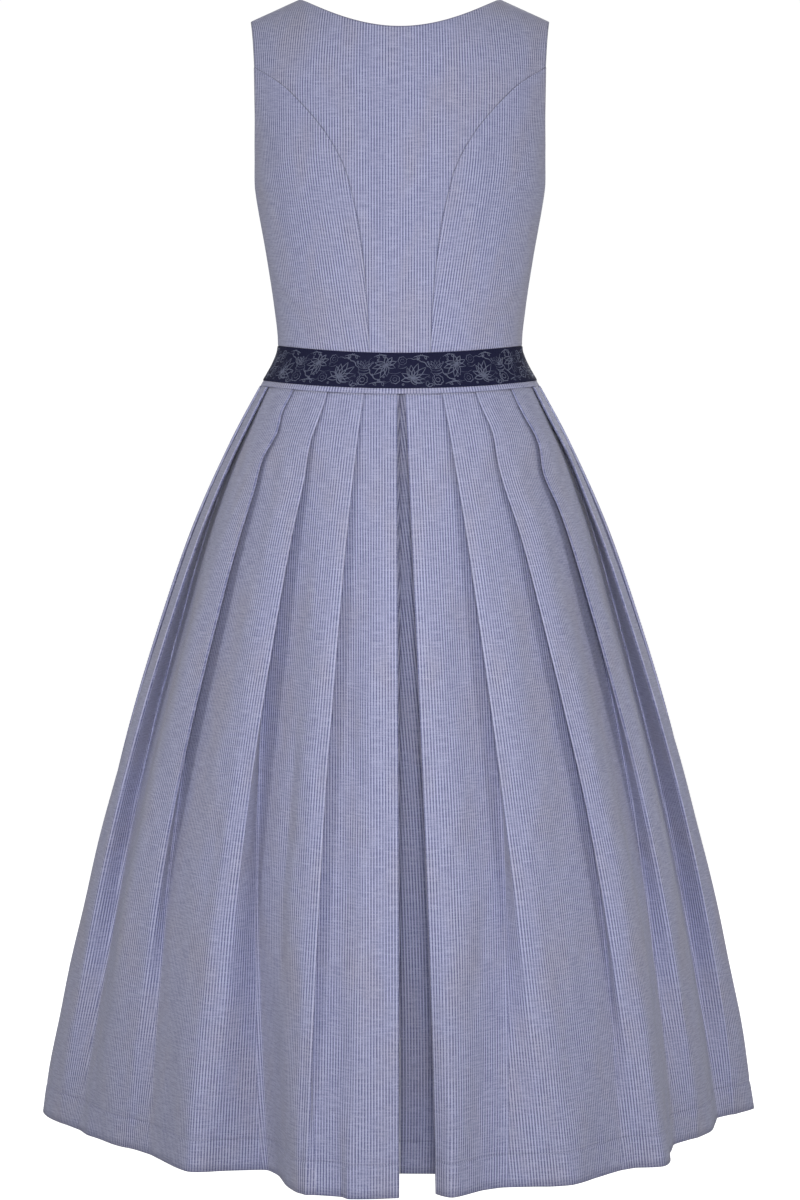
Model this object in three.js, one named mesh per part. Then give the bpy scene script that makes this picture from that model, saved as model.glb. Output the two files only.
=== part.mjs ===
// A sleeveless dress in its hollow worn form: a princess-seamed bodice, a ribbon over the waistband,
// and a midi skirt of eighteen knife pleats that all face the centre back.
// Millimetres, +Z up. +X is the wearer's right and -Y the back. The origin is the middle of the line
// between the shoulders, where the dress is carried.
import * as THREE from "three";

// Cloth walls, and the gap at each seam
const BODICE_CLOTH = 1.5;
const SKIRT_CLOTH = 1.2;
const BAND_CLOTH = 1.5;
const RIBBON_CLOTH = 1.0;
const SEAM_GAP = 0.3;

// The worn form: half width, depth behind and depth in front of the middle, from neck to hem
const FORM = [
  { z: 60, half: 178, back: 100, front: 84 },
  { z: -60, half: 178, back: 111, front: 106 },
  { z: -115, half: 171, back: 114, front: 124 },
  { z: -160, half: 163.5, back: 113, front: 138 },
  { z: -200, half: 160.5, back: 111, front: 144 },
  { z: -270, half: 148.5, back: 104, front: 128 },
  { z: -330, half: 139.5, back: 99, front: 108 },
  { z: -372, half: 136, back: 99, front: 100 },
  { z: -390, half: 142, back: 106, front: 106 },
  { z: -421, half: 160, back: 123, front: 122 },
  { z: -475, half: 189, back: 153, front: 151 },
  { z: -564, half: 230, back: 196, front: 194 },
  { z: -654, half: 263, back: 230, front: 228 },
  { z: -789, half: 306.5, back: 275, front: 272 },
  { z: -925, half: 342.5, back: 315, front: 311 },
  { z: -1061, half: 372, back: 349, front: 344 },
  { z: -1153, half: 390, back: 370, front: 364 },
  { z: -1232, half: 403, back: 385, front: 378 },
];

// Shoulders, necklines and armholes
const NECK_POINT = { x: 111, z: 11 };
const SHOULDER_TIP = { x: 165, z: -13 };
const SHOULDER_ROUNDING = 115;
const BACK_NECK = { z: -29, power: 1.9 };
const FRONT_NECK = { z: -119, power: 2.4 };
const UNDERARM_Z = -196;
const ARMHOLE_CURVE_Z = -118;
const BACK_ARMHOLE = { x: 159.5, scoop: 0 };
const FRONT_ARMHOLE = { x: 159.5, scoop: 12 };

// The waist seam dips at the centre back, and the dip dies out above it
const WAIST_Z = -370;
const WAIST_DIP = 8.5;
const DIP_FADES_AT_Z = -240;
const BAND_HEIGHT = 44;
const RIBBON_HEIGHT = 38;
const RIBBON_PROUD = 0.6;
const HEM_Z = -1232;

// Princess seams from the waist to the armhole, measured across from the middle
const BACK_PRINCESS = [
  { z: -373.5, x: 32.7 },
  { z: -344.5, x: 34.2 },
  { z: -310, x: 36.4 },
  { z: -272.5, x: 40.1 },
  { z: -238, x: 45.1 },
  { z: -210, x: 51.6 },
  { z: -185, x: 58.2 },
  { z: -162, x: 68.4 },
  { z: -137, x: 84.3 },
  { z: -112, x: 105.2 },
  { z: -88, x: 129.3 },
  { z: -67, x: 158.6 },
];
const FRONT_PRINCESS = [
  { z: -373.5, x: 58 },
  { z: -310, x: 66 },
  { z: -250, x: 77 },
  { z: -200, x: 87 },
  { z: -165, x: 95 },
  { z: -130, x: 108 },
  { z: -104, x: 126 },
  { z: -84, x: 147.5 },
];

// The front closes right over left, on plain buttons
const CLOSURE = { overlap: 12, holds: 24, fades: 42, lift: 2.4 };
const BUTTONS = { count: 7, topZ: -134, bottomZ: -352, radius: 6.5, height: 2.6, dish: 0.8 };

// Knife pleats, a row for each fold edge from the centre back outwards: the edge's azimuth at the
// waist, middle and hem, then how the hem lies there. Turns are degrees on from the edge, and levels
// are millimetres outside the worn form.
const LEFT_FOLDS = [
  {
    waist: 1, middle: 0.3, hem: 0.2,
    level: 2, crownTurn: 7, crown: 10, valleyTurn: 2.5, valley: -99,
  },
  {
    waist: 14, middle: 13.8, hem: 13.5,
    level: 2, crownTurn: 1.9, crown: -6, valleyTurn: -1.5, valley: -1,
  },
  {
    waist: 29.7, middle: 30.4, hem: 33.3,
    level: -50, crownTurn: 3.4, crown: -32, valleyTurn: -7.6, valley: -83,
  },
  {
    waist: 47.7, middle: 49.6, hem: 56.5,
    level: -55, crownTurn: 10, crown: -43, valleyTurn: -6.1, valley: -58,
  },
  {
    waist: 69.4, middle: 71.3, hem: 79.5,
    level: -19, crownTurn: 10, crown: 2, valleyTurn: -6, valley: -36,
  },
];
const RIGHT_FOLDS = [
  {
    waist: 2, middle: 4.3, hem: 5.4,
    level: -12, crownTurn: 2, crown: 5, valleyTurn: 3, valley: -92,
  },
  {
    waist: 16.5, middle: 19.5, hem: 22.5,
    level: -14, crownTurn: 4.3, crown: -9, valleyTurn: -6.3, valley: -26,
  },
  {
    waist: 31.2, middle: 37.4, hem: 42,
    level: -29, crownTurn: 3.8, crown: -14, valleyTurn: -3.4, valley: -33,
  },
  {
    waist: 50.7, middle: 54.9, hem: 66,
    level: -50, crownTurn: 5.7, crown: -45, valleyTurn: -6.4, valley: -61,
  },
  {
    waist: 70.5, middle: 72.6, hem: 86,
    level: -27, crownTurn: 5, crown: 0, valleyTurn: -3, valley: -46,
  },
];
const FRONT_FOLDS = [
  {
    waist: 92, middle: 95, hem: 101,
    level: -12, crownTurn: 6, crown: 0, valleyTurn: -5, valley: -38,
  },
  {
    waist: 114, middle: 115, hem: 117.5,
    level: -10, crownTurn: 6, crown: 2, valleyTurn: -5, valley: -34,
  },
  {
    waist: 134, middle: 134.5, hem: 135,
    level: -14, crownTurn: 5, crown: -2, valleyTurn: -5, valley: -36,
  },
  {
    waist: 152, middle: 151.5, hem: 151,
    level: -6, crownTurn: 7, crown: 4, valleyTurn: -5, valley: -30,
  },
];

// How a pleat is laid: layers a pitch apart, each pleat lapping this share of its width at the waist
const LAYER_PITCH = 1.9;
const WAIST_LAP = 0.72;
const WAIST_CROWN = 0.3;
const MIDDLE_DEPTH = 15;
const TUCK_MARGIN = { waist: 0.8, hem: 3.6 };
const TUCK_SHARE = { waist: 0.57, hem: 0.2 };
const TUCK_SETTLES = 0.3;
const FRONT_PANEL_LEVEL = 4;
const LEVEL_SWELL = 2.6;
// Distance from the middle to the centre back seam, which lies in the box pleat's underlay
const SEAM_RADIUS = { waist: 116, hem: 287 };
const SKIRT_ROWS = [0, 0.03, 0.07, 0.13, 0.2, 0.29, 0.39, 0.5, 0.61, 0.72, 0.82, 0.91, 1];

// How finely the walls are divided
const SEAM_ROWS = 11;
const UNDERARM_ROW = 5;
const ARMHOLE_ROWS = 4;
const BACK_COLUMNS = 16;
const FRONT_COLUMNS = 10;
const SIDE_COLUMNS = 6;
const SHOULDER_COLUMNS = 2;
const BAND_COLUMNS = 56;
const BUTTON_SIDES = 12;

const COTTON = { color: 0x8b8da8, roughness: 0.9, metalness: 0 };
const NAVY = { color: 0x33354c, roughness: 0.75, metalness: 0 };
const PEWTER = { color: 0x8f9095, roughness: 0.4, metalness: 0.9 };

const { sin, cos, asin, acos, sqrt, abs, min, max, PI } = Math;
const radians = THREE.MathUtils.degToRad;
const mix = THREE.MathUtils.lerp;
const clamp = THREE.MathUtils.clamp;
const SIDE_SEAM = PI / 2;

// A column of a table at a height, on a smooth curve through the rows.
function along(table, z, column) {
  const rising = table[0].z < table[table.length - 1].z ? table : [...table].reverse();
  const last = rising.length - 1;
  let i = 0;
  while (i < last - 1 && z > rising[i + 1].z) i += 1;
  const slope = (j) => {
    const low = rising[max(j - 1, 0)];
    const high = rising[min(j + 1, last)];
    return (high[column] - low[column]) / (high.z - low.z);
  };
  const span = rising[i + 1].z - rising[i].z;
  const s = clamp((z - rising[i].z) / span, 0, 1);
  const rest = 1 - s;
  return (
    rising[i][column] * (1 + 2 * s) * rest * rest +
    slope(i) * span * s * rest * rest +
    rising[i + 1][column] * (3 - 2 * s) * s * s -
    slope(i + 1) * span * s * s * rest
  );
}

// How far the waist line lies below its side level at an azimuth, faded with height.
function waistDip(azimuth, z) {
  const fade = clamp((DIP_FADES_AT_Z - z) / (DIP_FADES_AT_Z - WAIST_Z), 0, 1);
  return WAIST_DIP * max(cos(azimuth), 0) ** 2 * fade;
}

// The shoulder ridge's height over a point across the body.
function ridgeHeight(x) {
  const fall = (NECK_POINT.z - SHOULDER_TIP.z) / (SHOULDER_TIP.x - NECK_POINT.x);
  return NECK_POINT.z - (abs(x) - NECK_POINT.x) * fall;
}

// A point of the bodice's outer face. Azimuth runs from the centre back, or from the centre front.
function torso(azimuth, z, isFront) {
  const x = along(FORM, z, "half") * sin(azimuth);
  const down = clamp((ridgeHeight(x) - z) / SHOULDER_ROUNDING, 0, 1);
  const rounding = sqrt(1 - (1 - down) ** 2);
  const depth = along(FORM, z, isFront ? "front" : "back") * cos(azimuth) * rounding;
  const y = (isFront ? 1 : -1) * (depth + SEAM_GAP / 2);
  return new THREE.Vector3(x, y, z - (isFront ? 0 : waistDip(azimuth, z)));
}

// The outward normal of the bodice's outer face.
function torsoNormal(azimuth, z, isFront) {
  const step = 0.01;
  const below = z - 2;
  const across = torso(azimuth + step, below, isFront).sub(torso(azimuth - step, below, isFront));
  const up = torso(azimuth, below + 1, isFront).sub(torso(azimuth, below - 1, isFront));
  const normal = across.cross(up).normalize();
  return isFront ? normal.negate() : normal;
}

// A closed wall between two grids of points that match row by row, facing outwards. Each cell of the
// outer grid is split along its shorter diagonal, and the inner one to match.
function closedWall(outer, inner) {
  const rows = outer.length;
  const columns = outer[0].length;
  const points = [...outer.flat(), ...inner.flat()];
  const at = (side, row, column) => (side * rows + row) * columns + column;
  const faces = [];
  const quad = (a, b, c, d) => faces.push([a, b, c], [a, c, d]);
  for (let r = 0; r < rows - 1; r += 1)
    for (let c = 0; c < columns - 1; c += 1) {
      const rising = outer[r][c].distanceTo(outer[r + 1][c + 1]);
      const falling = outer[r][c + 1].distanceTo(outer[r + 1][c]);
      if (rising <= falling) {
        quad(at(0, r, c), at(0, r, c + 1), at(0, r + 1, c + 1), at(0, r + 1, c));
        quad(at(1, r + 1, c + 1), at(1, r, c + 1), at(1, r, c), at(1, r + 1, c));
      } else {
        quad(at(0, r, c + 1), at(0, r + 1, c + 1), at(0, r + 1, c), at(0, r, c));
        quad(at(1, r + 1, c), at(1, r + 1, c + 1), at(1, r, c + 1), at(1, r, c));
      }
    }
  for (let c = 0; c < columns - 1; c += 1) {
    quad(at(0, 0, c), at(1, 0, c), at(1, 0, c + 1), at(0, 0, c + 1));
    quad(at(0, rows - 1, c), at(0, rows - 1, c + 1), at(1, rows - 1, c + 1), at(1, rows - 1, c));
  }
  for (let r = 0; r < rows - 1; r += 1) {
    quad(at(0, r, 0), at(0, r + 1, 0), at(1, r + 1, 0), at(1, r, 0));
    const end = columns - 1;
    quad(at(0, r, end), at(1, r, end), at(1, r + 1, end), at(0, r + 1, end));
  }
  const volume = faces.reduce(
    (sum, [a, b, c]) => sum + points[a].dot(new THREE.Vector3().crossVectors(points[b], points[c])),
    0,
  );
  if (volume < 0) faces.forEach((face) => face.reverse());
  const geometry = new THREE.BufferGeometry();
  geometry.setFromPoints(points);
  geometry.setIndex(faces.flat());
  geometry.computeVertexNormals();
  return geometry;
}

// A named piece in its cloth.
function piece(name, geometry, finish) {
  const mesh = new THREE.Mesh(geometry, new THREE.MeshStandardMaterial(finish));
  mesh.name = name;
  return mesh;
}

// The azimuth of a princess seam at a height, clear of it by half a gap.
function princessAt(z, isFront, clearance) {
  const x = along(isFront ? FRONT_PRINCESS : BACK_PRINCESS, z, "x") + clearance;
  return asin(x / along(FORM, z, "half"));
}

// A point of a princess seam, from the waist (0) to the armhole (1).
function princessPoint(share, isFront, clearance) {
  const table = isFront ? FRONT_PRINCESS : BACK_PRINCESS;
  const z = mix(WAIST_Z, table[table.length - 1].z, share);
  return { azimuth: princessAt(z, isFront, clearance), z };
}

// The azimuth of the armhole's edge at a height: it curves under the arm to the side seam.
function armholeAt(z, isFront) {
  const { x, scoop } = isFront ? FRONT_ARMHOLE : BACK_ARMHOLE;
  const rise = clamp((z - UNDERARM_Z) / (SHOULDER_TIP.z - UNDERARM_Z), 0, 1);
  const edge = mix(x, SHOULDER_TIP.x, rise ** 6) - scoop * sin(PI * rise);
  const under = clamp((ARMHOLE_CURVE_Z - z) / (ARMHOLE_CURVE_Z - UNDERARM_Z), 0, 1);
  const across = sqrt(1 - min(1, edge / along(FORM, z, "half")) ** 2);
  return acos(across * sqrt(1 - under ** 2));
}

// A point of the neckline (0 at the middle, 1 at the neck point).
function necklinePoint(share, isFront) {
  const neck = isFront ? FRONT_NECK : BACK_NECK;
  const x = NECK_POINT.x * share;
  const z = mix(neck.z, NECK_POINT.z, share ** neck.power);
  return { azimuth: asin(x / along(FORM, z, "half")), z };
}

// A point of the shoulder seam (0 at the neck point, 1 at the tip).
function shoulderPoint(share) {
  const x = mix(NECK_POINT.x, SHOULDER_TIP.x, share);
  const z = ridgeHeight(x);
  return { azimuth: asin(x / along(FORM, z, "half")), z };
}

// A point inside four edges, each a function of a share of its length.
function within(edges, u, v) {
  const blend = (key) => {
    const sides = mix(edges.left(v)[key], edges.right(v)[key], u);
    const ends = mix(edges.bottom(u)[key], edges.top(u)[key], v);
    const low = mix(edges.left(0)[key], edges.right(0)[key], u);
    const high = mix(edges.left(1)[key], edges.right(1)[key], u);
    return sides + ends - mix(low, high, v);
  };
  return { azimuth: blend("azimuth"), z: blend("z") };
}

// A bodice panel between four edges. Lift raises it off the form, by place.
function bodicePanel(edges, rows, columns, isFront, lift = () => 0) {
  const outer = [];
  const inner = [];
  const limit = SEAM_GAP / 2;
  for (const v of rows) {
    const outerRow = [];
    const innerRow = [];
    for (const u of columns) {
      const { azimuth, z } = within(edges, u, v);
      const normal = torsoNormal(azimuth, z, isFront);
      const face = torso(azimuth, z, isFront).addScaledVector(normal, lift(azimuth, z));
      const back = face.clone().addScaledVector(normal, -BODICE_CLOTH);
      back.y = isFront ? max(back.y, limit) : min(back.y, -limit);
      outerRow.push(face);
      innerRow.push(back);
    }
    outer.push(outerRow);
    inner.push(innerRow);
  }
  return closedWall(outer, inner);
}

// Even shares from 0 to 1.
const shares = (count) => Array.from({ length: count + 1 }, (_, i) => i / count);

// The right edge of a centre panel: the princess seam, then the armhole up to the shoulder tip.
const SEAM_SHARE = SEAM_ROWS / (SEAM_ROWS + ARMHOLE_ROWS);
function centreEdge(v, isFront) {
  if (v <= SEAM_SHARE) return princessPoint(v / SEAM_SHARE, isFront, -SEAM_GAP / 2);
  const foot = princessPoint(1, isFront, -SEAM_GAP / 2);
  const share = (v - SEAM_SHARE) / (1 - SEAM_SHARE);
  const z = mix(foot.z, SHOULDER_TIP.z, share);
  const join = foot.azimuth - armholeAt(foot.z, isFront);
  return { azimuth: armholeAt(z, isFront) + join * (1 - share), z };
}

// The top edge of a centre panel from the middle outwards: the neckline, then the shoulder.
function centreTop(share, neckShare, isFront) {
  if (share <= neckShare) return necklinePoint(share / neckShare, isFront);
  return shoulderPoint((share - neckShare) / (1 - neckShare));
}

// A point of the edge of a side panel at the side seam and armhole, from the waist upwards.
function sideEdge(share, isFront) {
  const top = princessPoint(1, isFront, SEAM_GAP / 2);
  const underarmShare = UNDERARM_ROW / SEAM_ROWS;
  if (share <= underarmShare) {
    return { azimuth: SIDE_SEAM, z: mix(WAIST_Z, UNDERARM_Z, share / underarmShare) };
  }
  const rise = (share - underarmShare) / (1 - underarmShare);
  const z = mix(UNDERARM_Z, top.z, rise ** 1.5);
  return { azimuth: armholeAt(z, isFront), z };
}

const alongWaist = (from, to) => (u) => ({ azimuth: mix(from, to, u), z: WAIST_Z });
const mirrored = ({ azimuth, z }) => ({ azimuth: -azimuth, z });

function backCentre() {
  const neckShare = 1 - (2 * SHOULDER_COLUMNS) / BACK_COLUMNS;
  const right = (v) => centreEdge(v, false);
  const left = (v) => mirrored(right(v));
  const waist = right(0).azimuth;
  const top = (u) => {
    const out = centreTop(abs(2 * u - 1), neckShare, false);
    return u < 0.5 ? mirrored(out) : out;
  };
  const edges = { left, right, top, bottom: alongWaist(-waist, waist) };
  return bodicePanel(edges, shares(SEAM_ROWS + ARMHOLE_ROWS), shares(BACK_COLUMNS), false);
}

// One side panel, back or front, on the side that sign gives.
function sidePanel(sign, isFront) {
  const seam = (v) => princessPoint(v, isFront, SEAM_GAP / 2);
  const side = (v) => sideEdge(v, isFront);
  const turned = ({ azimuth, z }) => ({ azimuth: sign * azimuth, z });
  const top = (u) => ({
    azimuth: mix(seam(1).azimuth, side(1).azimuth, u),
    z: mix(seam(1).z, side(1).z, u),
  });
  const edges = {
    left: (v) => turned(seam(v)),
    right: (v) => turned(side(v)),
    top: (u) => turned(top(u)),
    bottom: (u) => turned({ azimuth: mix(seam(0).azimuth, SIDE_SEAM, u), z: WAIST_Z }),
  };
  return bodicePanel(edges, shares(SEAM_ROWS), shares(SIDE_COLUMNS), isFront);
}

// One centre front. The right one laps over the left past the middle.
function frontPanel(sign) {
  const neckShare = 1 - SHOULDER_COLUMNS / FRONT_COLUMNS;
  const lap = CLOSURE.overlap / along(FORM, WAIST_Z, "half");
  const middle = (v) => ({ azimuth: -lap, z: mix(WAIST_Z, FRONT_NECK.z, v) });
  const outwards = (v) => centreEdge(v, true);
  const top = (u) => {
    const point = centreTop(u, neckShare, true);
    const reach = clamp(1 - u / neckShare, 0, 1);
    return { azimuth: point.azimuth - lap * reach, z: point.z };
  };
  const turned = ({ azimuth, z }) => ({ azimuth: sign * azimuth, z });
  const edges = {
    left: (v) => turned(middle(v)),
    right: (v) => turned(outwards(v)),
    top: (u) => turned(top(u)),
    bottom: (u) => turned({ azimuth: mix(-lap, outwards(0).azimuth, u), z: WAIST_Z }),
  };
  const lift = (azimuth, z) => {
    if (sign < 0) return 0;
    const x = along(FORM, z, "half") * sin(azimuth);
    const rise = clamp((CLOSURE.fades - x) / (CLOSURE.fades - CLOSURE.holds), 0, 1);
    return CLOSURE.lift * rise * rise * (3 - 2 * rise);
  };
  return bodicePanel(edges, shares(SEAM_ROWS + ARMHOLE_ROWS), shares(FRONT_COLUMNS), true, lift);
}

// A button's disc on the lapped front, its back a gap off the cloth.
function button(index) {
  const { count, topZ, bottomZ, radius, height, dish } = BUTTONS;
  const profile = [
    [0, 0],
    [radius * 0.85, 0],
    [radius, height * 0.35],
    [radius, height * 0.7],
    [radius * 0.82, height],
    [radius * 0.55, height - dish],
    [0, height - dish],
  ].map(([r, h]) => new THREE.Vector2(r, h));
  const geometry = new THREE.LatheGeometry(profile, BUTTON_SIDES);
  const z = mix(topZ, bottomZ, index / (count - 1));
  const normal = torsoNormal(0, z, true);
  const seat = torso(0, z, true).addScaledVector(normal, CLOSURE.lift + SEAM_GAP);
  const turn = new THREE.Quaternion().setFromUnitVectors(new THREE.Vector3(0, 1, 0), normal);
  const mesh = piece(`button_${index + 1}`, geometry, PEWTER);
  mesh.quaternion.copy(turn);
  mesh.position.copy(seat);
  return mesh;
}

// The height of the waist line's level and of the skirt's top edge, at an azimuth from the back.
const waistLine = (azimuth) => WAIST_Z - waistDip(azimuth, WAIST_Z);
const skirtTop = (azimuth) => waistLine(azimuth) - BAND_HEIGHT - 2 * SEAM_GAP;

// A point on the worn form below the waist, at a level outside it.
function hipPoint(azimuth, z, level) {
  const depth = along(FORM, z, cos(azimuth) < 0 ? "front" : "back");
  const half = along(FORM, z, "half");
  return new THREE.Vector3((half + level) * sin(azimuth), -(depth + level) * cos(azimuth), z);
}

// A band round the waist through rows at these drops, closed edge to edge at the centre front.
function waistRing(drops, level, thickness) {
  const outer = [];
  const inner = [];
  const end = SEAM_GAP / 2 / FORM.find(({ z }) => z < WAIST_Z).front;
  for (const drop of drops) {
    const outerRow = [];
    const innerRow = [];
    for (const u of shares(BAND_COLUMNS)) {
      const azimuth = mix(-PI + end, PI - end, u);
      const z = waistLine(azimuth) - SEAM_GAP - drop;
      outerRow.push(hipPoint(azimuth, z, level));
      innerRow.push(hipPoint(azimuth, z, level - thickness));
    }
    outer.push(outerRow);
    inner.push(innerRow);
  }
  return closedWall(outer, inner);
}

// Azimuth between its values at the waist, middle and hem.
function edgeTurn({ waist, middle, hem }, t) {
  const atWaist = 2 * (t - 0.5) * (t - 1) * waist;
  const atMiddle = 4 * t * (1 - t) * middle;
  const atHem = 2 * t * (t - 0.5) * hem;
  return atWaist + atMiddle + atHem;
}

// One fold at a share of the way from waist to hem: its edge, its crown and its inner fold.
function foldAt(fold, next, t) {
  const spacing = next.waist - fold.waist;
  const stack = 2 * LAYER_PITCH * (1 + WAIST_LAP);
  const edge = edgeTurn(fold, t);
  const swell = t ** LEVEL_SWELL;
  const level = fold.level * swell;
  const lapTurn = mix(WAIST_LAP * spacing, fold.valleyTurn, t);
  const depth = mix(stack, fold.level - fold.valley, t) + 4 * t * (1 - t) * MIDDLE_DEPTH;
  return {
    edge,
    level,
    crown: edge + mix(WAIST_CROWN * spacing, fold.crownTurn, t),
    crownLevel: mix(-2 * LAYER_PITCH * WAIST_CROWN, fold.crown, swell),
    inner: edge + lapTurn,
    innerLevel: level - depth,
  };
}

// The points of a panel from one fold's edge to where it turns under the next.
function panelPath(fold, next, t) {
  const settled = clamp(t / TUCK_SETTLES, 0, 1);
  const margin = mix(TUCK_MARGIN.waist, TUCK_MARGIN.hem, t);
  const tuck = min(next.edge, next.inner) - margin;
  const share = mix(TUCK_SHARE.waist, TUCK_SHARE.hem, settled);
  const tuckLevel = mix(next.innerLevel, fold.crownLevel, share);
  const points = [
    [fold.edge, fold.level],
    [mix(fold.edge, fold.crown, 0.5), mix(fold.level, fold.crownLevel, 0.6)],
  ];
  for (const s of [0, 1 / 3, 2 / 3, 1]) {
    const eased = s * s * (3 - 2 * s);
    const drop = mix(s, eased, settled * 0.6);
    points.push([mix(fold.crown, tuck, s), mix(fold.crownLevel, tuckLevel, drop)]);
  }
  return points;
}

// The turn from under the panel before, round the inner fold and back out to the edge.
function foldPath(fold) {
  return {
    tail: [fold.inner, fold.innerLevel],
    turn: [
      [fold.inner, fold.innerLevel + LAYER_PITCH],
      [fold.edge, fold.level - LAYER_PITCH],
    ],
  };
}

// The level at which the underlays of the two first folds meet in the centre-back seam.
function centreBackLevel(t) {
  const [left, right] = [LEFT_FOLDS, RIGHT_FOLDS].map((folds) => foldAt(folds[0], folds[1], t));
  return (left.innerLevel + right.innerLevel) / 2;
}

// A quarter of the skirt's section at one height, as azimuth and level from its first seam to its last.
function quarterPath(folds, first, last, t) {
  const end = { waist: 180, middle: 180, hem: 180 };
  const laid = folds.map((fold, i) => foldAt(fold, folds[i + 1] ?? end, t));
  const path = [];
  const seam = THREE.MathUtils.radToDeg(SEAM_GAP / 2 / mix(SEAM_RADIUS.waist, SEAM_RADIUS.hem, t));
  if (first === 0) path.push([seam, centreBackLevel(t)], foldPath(laid[0]).tail);
  for (let i = first; i <= last; i += 1) {
    path.push(...foldPath(laid[i]).turn);
    if (i + 1 < laid.length) {
      path.push(...panelPath(laid[i], laid[i + 1], t), foldPath(laid[i + 1]).tail);
      continue;
    }
    path.push([laid[i].edge, laid[i].level], [laid[i].crown, laid[i].crownLevel]);
    for (const s of [1 / 3, 2 / 3]) {
      path.push([mix(laid[i].crown, 180, s), mix(laid[i].crownLevel, FRONT_PANEL_LEVEL * t * t, s)]);
    }
    path.push([180 - seam / 2, FRONT_PANEL_LEVEL * t * t]);
  }
  return path;
}

// Offsets a plan line to both sides by half the cloth, with mitred corners.
function bothFaces(line, thickness) {
  const normals = line.slice(1).map((point, i) => {
    const away = new THREE.Vector2(point.y - line[i].y, line[i].x - point.x);
    return away.normalize();
  });
  const shifted = (sign) =>
    line.map((point, i) => {
      const before = normals[max(i - 1, 0)];
      const after = normals[min(i, normals.length - 1)];
      const bend = before.clone().add(after);
      const reach = (sign * thickness) / max(0.5, bend.lengthSq() / 2);
      return new THREE.Vector3(point.x + (bend.x * reach) / 2, point.y + (bend.y * reach) / 2, point.z);
    });
  return [shifted(0.5), shifted(-0.5)];
}

// A quarter of the skirt, from one seam to the next.
function skirtQuarter(folds, sign, first, last) {
  const faces = SKIRT_ROWS.map((t) => {
    const line = quarterPath(folds, first, last, t).map(([degrees, level]) => {
      const azimuth = radians(degrees);
      const point = hipPoint(azimuth, mix(skirtTop(azimuth), HEM_Z, t), level);
      point.x *= sign;
      return point;
    });
    return bothFaces(line, SKIRT_CLOTH);
  });
  return closedWall(
    faces.map(([outer]) => outer),
    faces.map(([, inner]) => inner),
  );
}

const dress = new THREE.Group();

// Bodice
dress.add(piece("back_centre", backCentre(), COTTON));
dress.add(piece("side_back_left", sidePanel(-1, false), COTTON));
dress.add(piece("side_back_right", sidePanel(1, false), COTTON));
dress.add(piece("front_left", frontPanel(-1), COTTON));
dress.add(piece("front_right", frontPanel(1), COTTON));
dress.add(piece("side_front_left", sidePanel(-1, true), COTTON));
dress.add(piece("side_front_right", sidePanel(1, true), COTTON));
for (let i = 0; i < BUTTONS.count; i += 1) dress.add(button(i));

// Waist
const bandLevel = RIBBON_PROUD - RIBBON_CLOTH - SEAM_GAP;
const ribbonDrops = shares(3).map((share) => share * RIBBON_HEIGHT);
const bandDrops = [...ribbonDrops, BAND_HEIGHT];
dress.add(piece("waistband", waistRing(bandDrops, bandLevel, BAND_CLOTH), COTTON));
dress.add(piece("ribbon", waistRing(ribbonDrops, RIBBON_PROUD, RIBBON_CLOTH), NAVY));

// Skirt: the side seams are inside the first front pleats
const SIDES = [
  { name: "left", sign: -1, folds: [...LEFT_FOLDS, ...FRONT_FOLDS] },
  { name: "right", sign: 1, folds: [...RIGHT_FOLDS, ...FRONT_FOLDS] },
];
for (const { name, sign, folds } of SIDES) {
  const lastBack = LEFT_FOLDS.length - 1;
  const back = skirtQuarter(folds, sign, 0, lastBack);
  const front = skirtQuarter(folds, sign, lastBack + 1, folds.length - 1);
  dress.add(piece(`skirt_back_${name}`, back, COTTON));
  dress.add(piece(`skirt_front_${name}`, front, COTTON));
}

export default dress;
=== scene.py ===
"""The looks of a sleeveless pinstriped dirndl: fine cloth, sewing, ribbon flowers, buttons and studio.

Sizes are millimetres, as on the pattern, until a mesh is made. +Z is up, +X the wearer's right and -Y the
back. Azimuths run from the centre back, and levels are millimetres outside the worn form.
"""

import logging
import math
from collections.abc import Callable, Sequence
from dataclasses import dataclass, field
from enum import Enum

import bpy
import numpy as np
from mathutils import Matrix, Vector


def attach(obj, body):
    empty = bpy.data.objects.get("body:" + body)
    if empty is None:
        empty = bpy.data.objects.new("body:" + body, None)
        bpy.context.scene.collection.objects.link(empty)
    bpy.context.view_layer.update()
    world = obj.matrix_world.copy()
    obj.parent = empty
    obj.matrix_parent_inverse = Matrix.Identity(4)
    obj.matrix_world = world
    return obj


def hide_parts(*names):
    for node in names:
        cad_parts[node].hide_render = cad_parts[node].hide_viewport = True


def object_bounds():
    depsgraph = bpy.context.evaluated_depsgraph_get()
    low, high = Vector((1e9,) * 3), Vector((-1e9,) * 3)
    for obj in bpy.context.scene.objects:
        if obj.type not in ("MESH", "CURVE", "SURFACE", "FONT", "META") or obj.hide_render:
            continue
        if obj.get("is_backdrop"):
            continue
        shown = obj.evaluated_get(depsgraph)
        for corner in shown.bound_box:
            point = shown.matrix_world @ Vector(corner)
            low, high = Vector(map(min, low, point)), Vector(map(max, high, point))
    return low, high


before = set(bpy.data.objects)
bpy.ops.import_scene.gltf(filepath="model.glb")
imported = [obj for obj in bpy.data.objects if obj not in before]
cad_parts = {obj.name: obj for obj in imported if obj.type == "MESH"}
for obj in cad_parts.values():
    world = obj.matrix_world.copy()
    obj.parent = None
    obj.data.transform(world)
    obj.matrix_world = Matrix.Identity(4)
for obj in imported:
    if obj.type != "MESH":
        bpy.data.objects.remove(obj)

LOG = logging.getLogger("dirndl")
MM = 0.001
ROOT = "root"
UV_NAME = "cloth"
# Name of the point attribute that holds painted shade along edges, seams and the hem
SHADE_NAME = "turned_edge"
LIE_NAME = "lie"

Array = np.ndarray
Piece = bpy.types.Object
Material = bpy.types.Material
Socket = bpy.types.NodeSocket
Node = bpy.types.Node
Pair = tuple[float, float]
Spans = list[tuple[int, int]]
Three = tuple[float, float, float]
# Azimuths and heights of places on the form
Places = tuple[Array, Array]
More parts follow.
